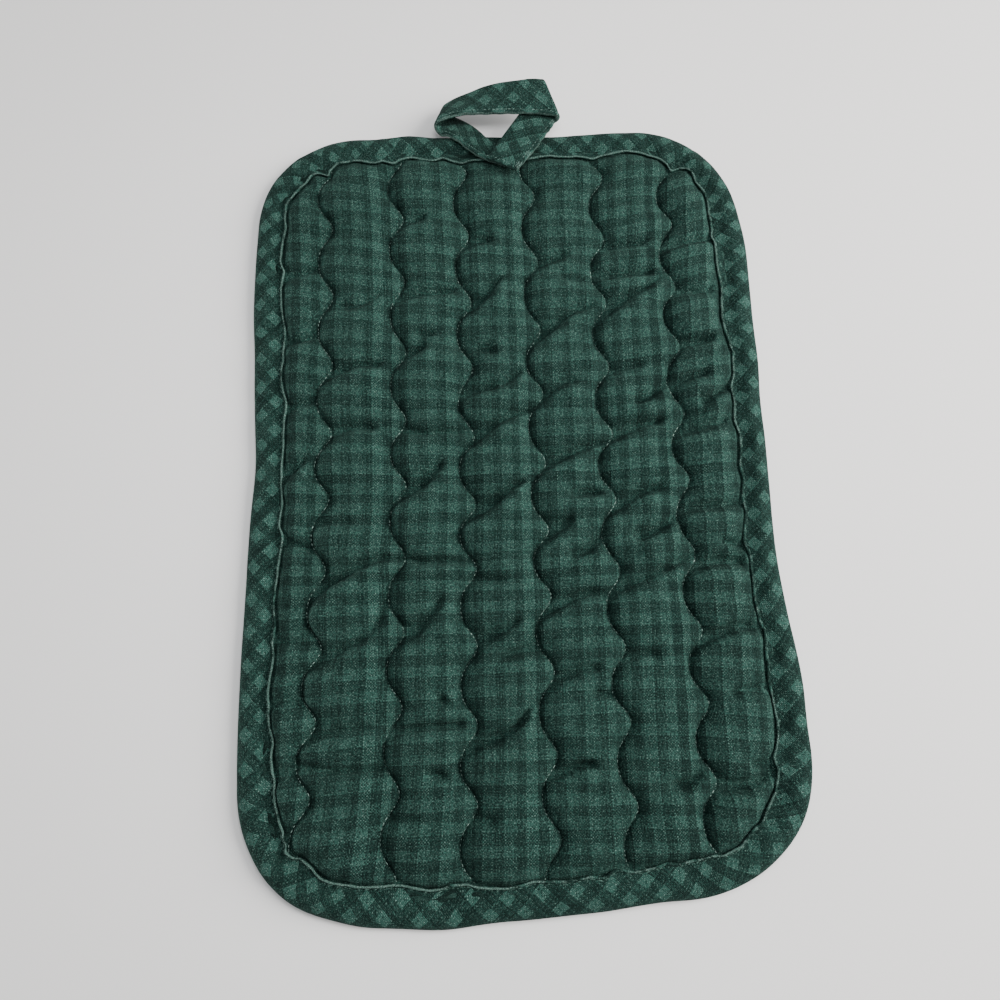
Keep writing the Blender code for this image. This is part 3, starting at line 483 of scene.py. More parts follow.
def line_x(number, y):
    """x of a quilting line at height y, and the cosine of its slant there."""
    middles, turns = LINES[number]
    bend = np.polyfit(LINE_PLACES, middles, 2)
    first, last = turns[0], turns[-1]
    heights = [last - 2 * LINE_PERIOD, last - LINE_PERIOD, *turns[::-1]]
    heights += [first + LINE_PERIOD, first + 2 * LINE_PERIOD]
    turn = 2 * math.pi * smooth(heights, np.arange(len(heights)), y)
    shape = np.cos(turn) + LINE_SHARPNESS * np.cos(2 * turn)
    slope = np.sin(turn) + 2 * LINE_SHARPNESS * np.sin(2 * turn)
    slope *= LINE_SWING * 2 * math.pi / LINE_PERIOD
    return np.polyval(bend, y) + LINE_SWING * shape, 1 / np.sqrt(1 + slope ** 2)


def channel_sides(number, y):
    """x at the left and right side of a channel."""
    left = np.full_like(y, SIDE_SEAM[0]) if number == 0 else line_x(number - 1, y)[0]
    last = len(LINES)
    right = np.full_like(y, SIDE_SEAM[1]) if number == last else line_x(number, y)[0]
    return left, right


def scatter(cells, seed):
    """Even random numbers from -1 to 1 on a lattice."""
    return np.random.default_rng(seed).uniform(-1, 1, cells)


def ripple(a, b, seed, wrap=None):
    """Smooth uneven waves from -1 to 1 over two lattice coordinates; a may close on itself."""
    cells = 512
    lattice = scatter((cells, cells), seed)
    i, j = np.floor(a).astype(int), np.floor(b).astype(int)
    s, t = ease(a - i), ease(b - j)
    i_on = (i + 1) % wrap if wrap else i + 1
    i = i % wrap if wrap else i
    low = lattice[i % cells, j % cells] * (1 - s) + lattice[i_on % cells, j % cells] * s
    j = j + 1
    high = lattice[i % cells, j % cells] * (1 - s) + lattice[i_on % cells, j % cells] * s
    return low * (1 - t) + high * t


def waves(along, seed, wrap=None):
    """The same waves over one lattice coordinate."""
    return ripple(along, np.zeros_like(along), seed, wrap)


def blur(grid, sigma, axis):
    """A Gaussian blur of a grid along one axis, with its border carried outwards."""
    reach = int(3 * sigma) + 1
    weights = np.exp(-((np.arange(-reach, reach + 1) / sigma) ** 2) / 2)
    weights /= weights.sum()
    wide = [(0, 0), (0, 0)]
    wide[axis] = (reach, reach)
    padded = np.pad(grid, wide, mode="edge")
    total = np.zeros_like(grid)
    for k, weight in enumerate(weights):
        part = padded[k:k + grid.shape[0]] if axis == 0 else padded[:, k:k + grid.shape[1]]
        total += weight * part
    return total


def read_grid(grid, start, step, xy):
    """A regular grid, indexed [x, y], read between its points."""
    at = (xy - start) / step
    i = np.clip(np.floor(at).astype(int), 0, np.array(grid.shape) - 2)
    s, t = np.clip(at - i, 0, 1).T
    i, j = i.T
    low = grid[i, j] * (1 - s) + grid[i + 1, j] * s
    high = grid[i, j + 1] * (1 - s) + grid[i + 1, j + 1] * s
    return low * (1 - t) + high * t


# ================================================================ the pad's surfaces
def swell(distance, reach):
    """How full the filling is, from 0 at a seam to 1 a reach away from it."""
    t = np.clip(distance / reach, 0, 1)
    return (1 - (1 - t) ** 2) ** SWELL_POWER


class Face:
    """The pad's face cloth: its heights, its folds and the small creases along its seams."""

    def __init__(self, edge):
        self.edge = edge
        self.creases = self.small_creases()

    def small_creases(self):
        """Short creases that run off the seams: x, y, direction, length, width and depth."""
        random = np.random.default_rng(PUCKER_SEED)
        rows = []
        for number in range(len(LINES)):
            for side in (-1, 1):
                y = -150.0
                while y < 150:
                    y += PUCKER_EVERY * random.uniform(*PUCKER_GAPS["quilting"])
                    x = line_x(number, np.array([y]))[0][0]
                    ahead = line_x(number, np.array([y + 0.1]))[0][0]
                    away = np.array([0.1, x - ahead]) * side
                    turn = random.normal(0, PUCKER_TURNS["quilting"])
                    rows.append(self.crease(x, y, away, turn, random))
        place = 0.0
        while place < self.edge.round:
            place += PUCKER_EVERY * random.uniform(*PUCKER_GAPS["binding"])
            i = min(np.searchsorted(self.edge.places, place), len(self.edge.places) - 1)
            width = BINDING_WIDTH + self.edge.notch[i] - self.edge.sway[i]
            x, y = self.edge.points[i] - self.edge.outward[i] * width
            turn = random.normal(0, PUCKER_TURNS["binding"])
            rows.append(self.crease(x, y, -self.edge.outward[i], turn, random))
        return np.array(rows)

    @staticmethod
    def crease(x, y, away, turn, random):
        """One small crease that runs off a seam at x, y, turned a little from straight away."""
        away = away / np.hypot(*away)
        c, s = math.cos(turn), math.sin(turn)
        shape, scale, least = PUCKER_LENGTH
        length = random.gamma(shape, scale) + least
        depth = random.uniform(*PUCKER_DEPTH) * min(length / PUCKER_FULL_LENGTH, PUCKER_DEEPEST)
        if random.uniform() < PUCKER_RIDGES:
            depth *= -PUCKER_RIDGE_HEIGHT
        width = random.uniform(*PUCKER_WIDTH)
        return (x, y, away[0] * c - away[1] * s, away[0] * s + away[1] * c, length, width, depth)

    def crease_depth(self, xy):
        """How deep the small creases lie at each place."""
        total = np.zeros(len(xy))
        order = np.argsort(xy[:, 1])
        rows = xy[order, 1]
        for x, y, dx, dy, length, width, depth in self.creases:
            reach = length + 3 * width
            first, last = np.searchsorted(rows, (y - reach, y + reach))
            near = order[first:last]
            near = near[np.abs(xy[near, 0] - x) < reach]
            off = xy[near] - (x, y)
            along = (off[:, 0] * dx + off[:, 1] * dy) / length
            wide = width * (0.6 + 0.7 * np.clip(along, 0, 1))
            across = (off[:, 1] * dx - off[:, 0] * dy) / wide
            share = np.clip(1 - along, 0, 1) ** 1.4 * ease(along * length / 0.8)
            total[near] += depth * share * np.exp(-(across ** 2))
        return total

    @staticmethod
    def fold_section(t, lean):
        """A fold's depth over t, in half widths above its bottom: a trough between two crowns."""
        soft, sharp = np.exp(-((t / 0.9) ** 2)), np.exp(-np.abs(t) * 2.6)
        trough = FOLD_SOFT_SHARE * soft + FOLD_SHARP_SHARE * sharp
        above = np.exp(-(((t - 2.0) / 1.2) ** 2))
        below = np.exp(-(((t + 2.0) / 1.2) ** 2))
        plump = FOLD_CROWN_BELOW + FOLD_CROWN_LEANING * lean
        return trough - FOLD_CROWN_ABOVE * above - plump * below

    def fold_depth(self, xy, channel, share, span):
        """How deep the soft folds lie, from each place's channel and its share of its width."""
        total = np.zeros(len(xy))
        y = xy[:, 1]
        for number, start, end, y_left, y_middle, y_right, depth, half_width in FOLDS:
            low, high = sorted((y_left, y_middle, y_right))[::2]
            near = np.flatnonzero(
                (channel == number) & (y > low - 6 * half_width) & (y < high + 6 * half_width)
            )
            part = share[near]
            bend = np.polyfit((start, (start + end) / 2, end), (y_left, y_middle, y_right), 2)
            row = np.full_like(part, y_middle)
            wander = FOLD_WANDER * ripple(part * 4 + number * 7.3, row, UNEVEN_SEED + 3)
            slope = np.polyval(np.polyder(bend), part) / span[near]
            lean = min(max((y_right - y_left) / FOLD_FULL_CLIMB, 0), 1)
            away = (y[near] - np.polyval(bend, part) - wander) / np.sqrt(1 + slope ** 2)
            away += FOLD_DROP - FOLD_LEANING_LIFT * lean
            fade = np.ones_like(part)
            if start > 0:
                fade *= ease((part - start) / FOLD_FADE)
            if end < 1:
                fade *= ease((end - part) / FOLD_FADE)
            along = np.clip((part - start) / (end - start), 0, 1)
            wide = half_width * (1.0 + lean * (FOLD_WIDER[0] - FOLD_WIDER[1] * along))
            strength = depth * fade * (1 + lean * (FOLD_DEEPER[0] - FOLD_DEEPER[1] * along))
            total[near] += strength * self.fold_section(away / wide, lean)
        return total

    def folds(self, xy):
        """How deep the soft folds lie at each place."""
        x, y = xy[:, 0], xy[:, 1]
        channel = np.zeros(len(xy), int)
        left = np.full(len(xy), SIDE_SEAM[0])
        right = np.full(len(xy), SIDE_SEAM[1])
        for number in range(len(LINES)):
            at, _ = line_x(number, y)
            beyond = x >= at
            channel += beyond
            left = np.where(beyond, at, left)
            right = np.where(~beyond & (right == SIDE_SEAM[1]), at, right)
        return self.fold_depth(xy, channel, (x - left) / (right - left), right - left)

    def heights(self, xy, detail=1.0):
        """z of the face cloth at each place."""
        x, y = xy[:, 0], xy[:, 1]
        inside, width = self.edge.inset(xy)
        from_binding = inside - width
        full = swell(from_binding - FACE_START, PUFF_REACH)
        seam = np.zeros(len(xy))
        for number in range(len(LINES)):
            at, slant = line_x(number, y)
            full = full * swell(np.abs(x - at) * slant, PUFF_REACH)
            from_groove = (x - at) * slant + SEAM_GROOVE_LEFT
            seam += np.exp(-(from_groove / SEAM_GROOVE_WIDTH) ** 2)
        from_press = (xy - LOOP_PRESS["middle"]) / LOOP_PRESS["reach"]
        full = full * (1 - LOOP_PRESS["share"] * np.exp(-(from_press ** 2).sum(1)))
        sewn = RIM_TOP + (SEWN_TOP - RIM_TOP) * ease((from_binding - FACE_START) / 3)
        uneven = np.zeros(len(xy))
        for number, (height, size_x, size_y) in enumerate(PUFF_WAVES):
            uneven += height * ripple(x / size_x, y / size_y, UNEVEN_SEED + number)
        uneven += FINE_WAVES * ripple(x / 6 + y / 9, y / 2.9, UNEVEN_SEED + 2)
        top = sewn + (CREST - SEWN_TOP) * full
        top += detail * np.sqrt(full) * (uneven - self.folds(xy))
        top -= detail * self.crease_depth(xy) * np.minimum(full * 3, 1)
        top = np.maximum(top, sewn - 0.5 * full)
        top -= SEAM_GROOVE * seam
        return np.where(from_binding < FACE_START, RIM_TOP, top)


def under_heights(xy, edge):
    """z of the pad's underside at each place."""
    inside, _ = edge.inset(xy)
    clear = ease((inside - BINDING_WIDTH_BELOW - 0.5) / GROOVE_REACH)
    for number in range(len(LINES)):
        at, slant = line_x(number, xy[:, 1])
        clear = clear * ease(np.abs(xy[:, 0] - at) * slant / GROOVE_REACH)
    uneven = 0.25 * np.abs(ripple(xy[:, 0] / 7, xy[:, 1] / 5, UNEVEN_SEED + 4))
    under = SEWN_UNDER * (1 - clear) + uneven * clear * (1 - clear) * 2
    return np.where(inside < BINDING_WIDTH_BELOW + 0.4, SEWN_UNDER, under)


class Puffs:
    """How far the filling pushes the face cloth between its seams, by simulating it as cloth."""

    def __init__(self, edge, face):
        rings = [(BINDING_WIDTH + wider, 1.0) for wider in PUFF_RINGS]
        points, joined = plan_points(edge, PUFF_PITCH, PUFF_COLUMNS, rings)
        xy, triangles, _ = lay_out(points, joined)
        used, triangles = np.unique(triangles, return_inverse=True)
        self.triangles = triangles.reshape(-1, 3)
        self.xy = xy[used]
        start = np.column_stack([self.xy, face.heights(self.xy)])
        move = self.simulate(start, self.held_down(edge, face)) - start
        size = np.linalg.norm(move, axis=1, keepdims=True)
        inside, width = edge.inset(self.xy)
        free = ease((inside - width - 0.6) / 5)[:, None]
        self.move = free * move * np.minimum(1, PUFF_CAP / np.maximum(size, 1e-9))
        flat = [(x, y, 0.0) for x, y in self.xy]
        self.finder = BVHTree.FromPolygons(flat, self.triangles.tolist())

    def held_down(self, edge, face):
        """The points on the seams and in the bottoms of the folds, which stay in place."""
        inside, width = edge.inset(self.xy)
        held = (inside < width + 0.6) | (face.folds(self.xy) > PUFF_HELD)
        for number in range(len(LINES)):
            held |= np.abs(self.xy[:, 0] - line_x(number, self.xy[:, 1])[0]) < 0.05
        return np.flatnonzero(held)

    def simulate(self, start, held):
        """Where a cloth that is held at its seams ends up under the filling's pressure."""
        mesh = bpy.data.meshes.new("face cloth")
        mesh.from_pydata((start * MM).tolist(), [], self.triangles.tolist())
        cloth = bpy.data.objects.new("face cloth", mesh)
        scene = bpy.context.scene
        scene.collection.objects.link(cloth)
        cloth.vertex_groups.new(name="sewn").add(held.tolist(), 1.0, "REPLACE")
        modifier = cloth.modifiers.new("filling", "CLOTH")
        settings = modifier.settings
        settings.vertex_group_mass = "sewn"
        settings.use_pressure = True
        settings.uniform_pressure_force = PUFF_PRESSURE
        settings.bending_model = "LINEAR"
        settings.bending_stiffness = PUFF_STIFFNESS
        settings.shrink_min = -PUFF_SPARE
        settings.effector_weights.gravity = 0
        modifier.collision_settings.use_collision = False
        modifier.point_cache.frame_end = PUFF_FRAMES
        for frame in range(1, PUFF_FRAMES + 1):
            scene.frame_set(frame)
        blown = cloth.evaluated_get(bpy.context.evaluated_depsgraph_get())
        places = np.empty(3 * len(start))
        blown.data.vertices.foreach_get("co", places)
        bpy.data.objects.remove(cloth)
        bpy.data.meshes.remove(mesh)
        scene.frame_set(1)
        return places.reshape(-1, 3) / MM

    def moves(self, xy):
        """The cloth's movement in x, y and z at each place."""
        total = np.zeros((len(xy), 3))
        for k, (x, y) in enumerate(xy):
            _, _, found, _ = self.finder.ray_cast((x, y, 1.0), (0, 0, -1.0))
            if found is None:
                continue
            corners = self.triangles[found]
            (ax, ay), (bx, by), (cx, cy) = self.xy[corners]
            area = (by - cy) * (ax - cx) + (cx - bx) * (ay - cy)
            first = ((by - cy) * (x - cx) + (cx - bx) * (y - cy)) / area
            second = ((cy - ay) * (x - cx) + (ax - cx) * (y - cy)) / area
            total[k] = np.array([first, second, 1 - first - second]) @ self.move[corners]
        return total


class FlatCloth:
    """Where each place on the pad lay in the flat cloth, by adding up lengths along it."""

    STEP = 1.0

    def __init__(self, heights):
        across = np.arange(-104, 104.1, self.STEP)
        along = np.arange(-158, 158.1, self.STEP)
        self.start = np.array([across[0], along[0]])
        x, y = np.meshgrid(across, along, indexing="ij")
        z = heights(np.stack([x.ravel(), y.ravel()], 1)).reshape(x.shape)
        self.across = self.lengths(z, 0, 14.0)
        self.along = self.lengths(z, 1, 26.0)

    def lengths(self, z, axis, evenness):
        """The cloth's length from the middle to each place along one axis, evened across it."""
        rise = np.diff(z, axis=axis)
        run = np.hypot(self.STEP, rise)
        total = np.cumsum(run, axis=axis)
        first = total[:1] if axis == 0 else total[:, :1]
        total = np.concatenate([np.zeros_like(first), total], axis)
        middle = total.shape[axis] // 2
        total -= total[middle:middle + 1] if axis == 0 else total[:, middle:middle + 1]
        return blur(total, evenness / self.STEP, 1 - axis)

    def places(self, xy):
        """Where each place on the pad's plan lay, across and along the flat cloth."""
        return np.stack([
            read_grid(self.across, self.start, self.STEP, xy),
            read_grid(self.along, self.start, self.STEP, xy),
        ], 1)


def check_drift(xy):
    """How far the woven check has moved off the straight at each place, across and along."""
    x, y = xy[:, 0] / 100, xy[:, 1] / 150
    terms = np.stack([np.ones_like(x), x, y, x * x, x * y, y * y], 1)
    return terms @ np.array(CHECK_DRIFT).T


def column_shares(count, bias):
    """Places across a channel, closer together at its seams."""
    t = np.arange(1, count) / count
    return t - bias * np.sin(2 * math.pi * t) / (2 * math.pi)


def plan_points(edge, pitch, columns, rings):
    """The points and sewn lines that a surface of the pad is laid out on."""
    points = []
    joined = []
    for inset, at_notch in [(CUT_EDGE_INSET, 0.0), *rings]:
        ring = edge.ring(inset, at_notch)
        first = len(points)
        points += [tuple(p) for p in ring]
        joined += [(first + i, first + (i + 1) % EDGE_POINTS) for i in range(EDGE_POINTS)]
    deepest = rings[-1]
    half_rows = int(HALF_LENGTH / pitch)
    y = np.arange(-half_rows, half_rows + 1) * pitch
    for number in range(len(LINES)):
        line = np.stack([line_x(number, y)[0], y], 1)
        line = line[edge.inset(line)[0] > BINDING_WIDTH]
        first = len(points)
        points += [tuple(p) for p in line]
        joined += [(first + i, first + i + 1) for i in range(len(line) - 1)]
    for number in range(len(LINES) + 1):
        left, right = channel_sides(number, y)
        widest = (right - left).max()
        count = max(3, round(columns * min(widest / 29, 1)))
        for share in column_shares(count, COLUMN_BIAS):
            column = np.stack([left + share * (right - left), y], 1)
            inside, width = edge.inset(column)
            limit = deepest[0] + deepest[1] * (width - BINDING_WIDTH)
            points += [tuple(p) for p in column[inside > limit + 0.35]]
    return points, joined


def lay_out(points, joined):
    """Triangles over those points, inside the first ring, and where its points went."""
    flat = [Vector(p) for p in points]
    found, _, triangles, came_from, _, _ = delaunay_2d_cdt(flat, joined, [], 0, 1e-5, True)
    xy = np.array([tuple(p) for p in found])
    went_to = {}
    for new, olds in enumerate(came_from):
        for old in olds:
            went_to.setdefault(old, new)
    border = [went_to[i] for i in range(EDGE_POINTS)]
    on_border = np.zeros(len(xy), bool)
    on_border[border] = True
    corners = np.array(triangles)
    return xy, corners[~on_border[corners].all(1)], border


# ================================================================ making the pieces
def new_piece(name, places, faces, material, uv=None, wear_and_painted_light=None):
    """A piece from places in mm on the pad's plan, with its flat cloth places and its wear, which
    on the binding's fold is partly painted light.
    """
    mesh = bpy.data.meshes.new(name)
    at = (np.asarray(places, float) + (*PAD_MIDDLE, 0)) * MM
    mesh.from_pydata(at.tolist(), [], [tuple(int(i) for i in face) for face in faces])
    maker = bmesh.new()
    maker.from_mesh(mesh)
    bmesh.ops.recalc_face_normals(maker, faces=maker.faces)
    maker.to_mesh(mesh)
    maker.free()
    mesh.shade_smooth()
    mesh.materials.append(material)
    if uv is not None:
        layer = mesh.uv_layers.new(name="cloth")
        corner = np.empty(len(mesh.loops), int)
        mesh.loops.foreach_get("vertex_index", corner)
        layer.data.foreach_set("uv", np.asarray(uv, float)[corner].ravel())
    spread = mesh.attributes.new("wear_and_painted_light", "FLOAT", "POINT")
    amount = np.zeros(len(places)) if wear_and_painted_light is None else np.asarray(wear_and_painted_light, float)
    spread.data.foreach_set("value", amount)
    piece = bpy.data.objects.new(name, mesh)
    bpy.context.scene.collection.objects.link(piece)
    return piece


def make_pad(edge, face, material):
    """The quilted pad: face, back and the cut edge that joins them inside the binding."""
    face_rings = [(HIDDEN_RING, 0.0)]
    face_rings += [(BINDING_WIDTH + wider, 1.0) for wider in FACE_RINGS]
    back_rings = [(HIDDEN_RING, 0.0)]
    back_rings += [(BINDING_WIDTH_BELOW + wider, 0.0) for wider in UNDER_RINGS]
    flat = FlatCloth(lambda xy: face.heights(xy, 0.8))
    puffs = Puffs(edge, face)
    places, faces, uv, borders = [], [], [], []
    layers = [
        (ROW_PITCH, COLUMNS, face_rings, face.heights, puffs.moves),
        (UNDER_ROW_PITCH, UNDER_COLUMNS, back_rings, lambda xy: under_heights(xy, edge), None),
    ]
    for pitch, columns, rings, heights, moves in layers:
        xy, triangles, border = lay_out(*plan_points(edge, pitch, columns, rings))
        used, triangles = np.unique(triangles, return_inverse=True)
        triangles = triangles.reshape(-1, 3) + len(places)
        borders.append(np.searchsorted(used, border) + len(places))
        faces += triangles.tolist()
        xy = xy[used]
        at = np.column_stack([xy, heights(xy)])
        if moves:
            at += moves(xy)
        places += at.tolist()
        uv.append(flat.places(xy) - check_drift(xy))
    upper, lower = borders
    for here in range(EDGE_POINTS):
        after = (here + 1) % EDGE_POINTS
        faces.append((upper[here], upper[after], lower[after], lower[here]))
    return new_piece("quilted_pad", places, faces, material, np.concatenate(uv))


def binding_section(width, height, dip):
    """The binding's section from its inner fold, over the top and round: in from the edge, z."""
    return [
        (width - 0.1, 3.72), (width + 0.15, 4.05), (width + 0.24, 4.45), (width + 0.15, 4.82),
        (width - 0.14, 5.04), (width - 0.46, 5.0), (width - 0.72, 4.66),
        (width - 0.86, 4.2 - dip), (width - 1.04, 4.17 - dip), (width - 1.4, 4.3 - dip),
        (width - 2.0, 4.12), (width * 0.75, height - 1.32), (width * 0.66, height - 0.86),
        (width * 0.57, height - 0.34), (width * 0.46, height), (4.2, height - 0.13),
        (3.1, height - 0.42), (2.1, height - 0.84), (1.25, height - 1.38),
        (0.62, height - 2.0), (0.24, height * 0.52),
        (0.0, height * 0.42), (0.1, height * 0.28), (0.5, height * 0.15), (1.3, height * 0.05),
        (2.6, 0.02), (4.6, 0.0), (6.8, 0.0), (BINDING_WIDTH_BELOW - 2.4, 0.02),
        (BINDING_WIDTH_BELOW - 1.6, 0.22), (BINDING_WIDTH_BELOW - 0.9, 0.1),
        (BINDING_WIDTH_BELOW - 0.3, 0.03), (BINDING_WIDTH_BELOW, 0.3),
        (BINDING_WIDTH_BELOW - 0.15, 0.75), (BINDING_WIDTH_BELOW - 0.6, 0.98),
        (CUT_EDGE_INSET - 0.45, 1.0), (CUT_EDGE_INSET - 0.45, 3.72),
    ]


TOP_OF_SECTION = slice(1, 20)  # the part of that list that shows from above
ROLL_OF_SECTION = 4  # the top of its rolled inner edge, and its outermost point
RIM_OF_SECTION = 21
SEAM_OF_SECTION = 8  # its stitched groove on the top, and on the underside
UNDER_SEAM_OF_SECTION = 29
WEAR_SEED = 31


def binding_lines(edge):
    """The binding's sections, as an array of stations, section points and x, y, z.

    Its inner edge wanders, slanting ripples run over it, and creases cross it.
    """
    i = edge.stations
    place = edge.places[i]
    cells = round(edge.round / BINDING_RIPPLE)
    around = place / edge.round * cells
    wide_cells = round(edge.round / BINDING_SWAY)
    wide_around = place / edge.round * wide_cells
    wiggle = BINDING_WIGGLE * waves(around * 2, BINDING_SEED, 2 * cells)
    sway = BINDING_STRAY * waves(wide_around, BINDING_SEED + 1, wide_cells)
    sections = []
    for k, station in enumerate(i):
        point, outward, notch = edge.points[station], edge.outward[station], edge.notch[station]
        height = BINDING_HEIGHT - min(0.18 * max(notch, 0), 0.5)
        if point[1] > 0:
            from_loop = (point[0] - LOOP_PRESS["middle"][0]) / LOOP_PRESS["on the binding"]
            height -= (height - LOOP_PRESS["height"]) * math.exp(-(from_loop ** 4))
        width = BINDING_WIDTH + notch + wiggle[k]
        section = np.array(binding_section(width, height, 0.2))
        inner, z = section[TOP_OF_SECTION].T
        section[TOP_OF_SECTION, 1] = np.maximum(z, LEAST_BINDING_TOP * (inner > 1))
        back = edge.sway[station] + sway[k] - section[:, 0]
        sections.append(np.column_stack([point + outward * back[:, None], section[:, 1]]))
    lines = np.array(sections)
    inset = np.array([[s[0] for s in binding_section(BINDING_WIDTH, BINDING_HEIGHT, 0)]])
    inset = np.repeat(inset, len(lines), 0)
    lean = (around[:, None] * BINDING_RIPPLE + inset * 0.9) / BINDING_RIPPLE
    diagonal = ripple(lean, inset / 9, BINDING_SEED + 2, cells)
    diagonal += 0.5 * ripple(lean * 2, inset / 5, BINDING_SEED + 3, 2 * cells)
    loose = np.clip((inset - 1.5) / 4, 0, 1) * np.clip((BINDING_WIDTH - 0.9 - inset) / 1.5, 0, 1)
    shows = np.zeros(lines.shape[1])
    shows[TOP_OF_SECTION] = 1
    lines[:, :, 2] += BINDING_RIPPLE_HEIGHT * diagonal * loose * shows
    rim = ripple(wide_around[:, None] * 2, inset / 4, BINDING_SEED + 4, 2 * wide_cells)
    lines[:, :, 2] += BINDING_SWAY_HEIGHT * rim * shows
    for *ends, reach, depth in BINDING_CREASES:
        start, end = np.array(ends, float).reshape(2, 2)
        from_start = lines[:, :, :2] - start
        share = np.clip(from_start @ (end - start) / ((end - start) ** 2).sum(), 0, 1)
        away = np.linalg.norm(from_start - share[..., None] * (end - start), axis=2)
        lines[:, :, 2] -= depth * np.exp(-((away / reach) ** 2)) * loose * shows
    return lines, place


def strip_faces(lines, closed):
    """The faces from each of a strip's sections to the next."""
    count, corners = lines.shape[:2]
    faces = []
    for k in range(count if closed else count - 1):
        here, after = k * corners, (k + 1) % count * corners
        for j in range(corners):
            on = (j + 1) % corners
            faces.append((here + j, here + on, after + on, after + j))
    return faces


def strip_cloth(lines, along):
    """How far across its section each of a strip's points lies, and its flat cloth places."""
    steps = np.linalg.norm(np.diff(lines, axis=1), axis=2).mean(0)
    across = np.concatenate([[0], np.cumsum(steps)])
    return across, np.stack(np.broadcast_arrays(along[:, None], across), 2).reshape(-1, 2)


def make_binding(edge, material):
    """The folded strip that wraps the pad's cut edge, all the way round."""
    lines, place = binding_lines(edge)
    faces = strip_faces(lines, closed=True)
    across, uv = strip_cloth(lines, place)
    fold, rim = across[ROLL_OF_SECTION], across[RIM_OF_SECTION]
    # The pale fold along the binding's inner edge is worn cloth and partly a painted highlight.
    rub_and_painted_light = 0.96 + 0.27 * waves(place / 1.6, WEAR_SEED) + 0.2 * waves(place / 11, WEAR_SEED + 2)
    x, y = lines[:, ROLL_OF_SECTION, :2].T
    rub_and_painted_light -= np.clip((x - 0.4 * y) / 360, 0, 0.25)  # painted shade: the fold is painted less pale towards the right and the bottom
    wear_and_painted_light = np.clip(rub_and_painted_light, 0, 1)[:, None] * np.exp(-(((across[None] - fold) / 0.58) ** 4))
    rub_and_painted_light = np.clip(waves(place / 7, WEAR_SEED + 1), 0, 1)
    wear_and_painted_light += 0.5 * rub_and_painted_light[:, None] * np.exp(-(((across[None] - rim) / 1.2) ** 2))
    piece = new_piece("bias_binding", lines.reshape(-1, 3), faces, material, uv, wear_and_painted_light.ravel())
    wrap_uv(piece, edge.round)
    return piece, lines


def wrap_uv(piece, length):
    """Carries the last station's flat places on past the start, where the ring closes."""
    mesh = piece.data
    uv = np.empty(2 * len(mesh.loops))
    mesh.uv_layers["cloth"].data.foreach_get("uv", uv)
    uv = uv.reshape(-1, 2)
    for polygon in mesh.polygons:
        rows = list(polygon.loop_indices)
        if np.ptp(uv[rows, 0]) > length / 2:
            low = uv[rows, 0] < length / 2
            uv[np.array(rows)[low], 0] += length
    mesh.uv_layers["cloth"].data.foreach_set("uv", uv.ravel())


def loop_section(width):
    """The folded strip's section, from the slit in its stitched edge: across it, off its middle."""
    half = LOOP_CLOTH / 2
    face = [
        (0.02, 0.22), (0.04, 0.55), (0.3, half - 0.04), (0.85, half), (1.3, half - 0.12),
        (1.6, half - 0.34), (1.95, half - 0.16), (2.6, half + 0.02), (width * 0.34, half + 0.05),
        (width * 0.5, half), (width * 0.68, half + 0.03), (width - 1.9, half + 0.02),
        (width - 1.0, half - 0.06), (width - 0.35, half - 0.3), (width - 0.05, half - 0.62),
    ]
    back = [(across, -off) for across, off in reversed(face)]
    return [(0.22, 0.0), *face, (width, 0.0), *back]


LOOP_FOLD = 16  # that section's point on the folded edge
LOOP_SEAMS = (6, 26)  # its stitched grooves on the two faces
LOOP_FACES = (slice(3, 15), slice(18, 30))
LOOP_END = 3  # stations from each end at which it is sewn down
LOOP_SEED = 41


def loop_lines():
    """The loop's sections, as an array of stations, section points and x, y, z."""
    rows = np.array(LOOP_RULINGS, float)
    number = np.arange(len(rows))
    fine = np.linspace(0, len(rows) - 1, (len(rows) - 1) * LOOP_SPLITS + 1)
    lines = np.stack([smooth(number, rows[:, k], fine) for k in range(6)], 1)
    stitched, folded = lines[:, :3], lines[:, 3:]
    middle = (stitched + folded) / 2
    along = np.gradient(middle, axis=0)
    across = folded - stitched
    across /= np.linalg.norm(across, axis=1)[:, None]
    up = np.cross(across, along)
    up /= np.linalg.norm(up, axis=1)[:, None]
    length = np.concatenate([[0], np.cumsum(np.linalg.norm(np.diff(middle, axis=0), axis=1))])
    sections = []
    for k, (a, b, side, normal) in enumerate(zip(stitched, folded, across, up)):
        section = np.array(loop_section(np.linalg.norm(b - a)))
        section[:, 0] += 0.12 * math.sin(length[k] * 1.1) * (section[:, 0] < 1)
        from_end = min(k, len(lines) - 1 - k)
        section[:, 1] *= (0.55, 0.85)[from_end] if from_end < 2 else 1
        sections.append(a + section[:, :1] * side + section[:, 1:] * normal)
    lines = np.array(sections)
    swell_along = ripple(length[:, None] / 5, np.arange(lines.shape[1])[None] / 4.0, LOOP_SEED)
    lines += (up * 0.08)[:, None] * swell_along[..., None]
    return lines, length


LOOP_WORN = [  # x, y, z, reach and strength of its whitened places
    (19.0, 172.5, 12.6, 5.5, 0.68), (25.5, 157.5, 10.5, 3.2, 0.76), (22.8, 165.0, 12.5, 4.0, 0.62),
    (24.0, 155.5, 8.6, 3.6, 0.74), (20.5, 151.0, 9.0, 3.4, 0.68), (17.0, 145.5, 9.0, 3.4, 0.68),
    (12.5, 140.0, 9.0, 4.0, 0.74), (8.5, 134.5, 8.8, 3.8, 0.82), (10.0, 172.5, 13.5, 4.6, 0.64),
    (-22.5, 167.5, 5.0, 3.0, 0.54), (-26.0, 155.0, 9.0, 2.5, 0.64),
]


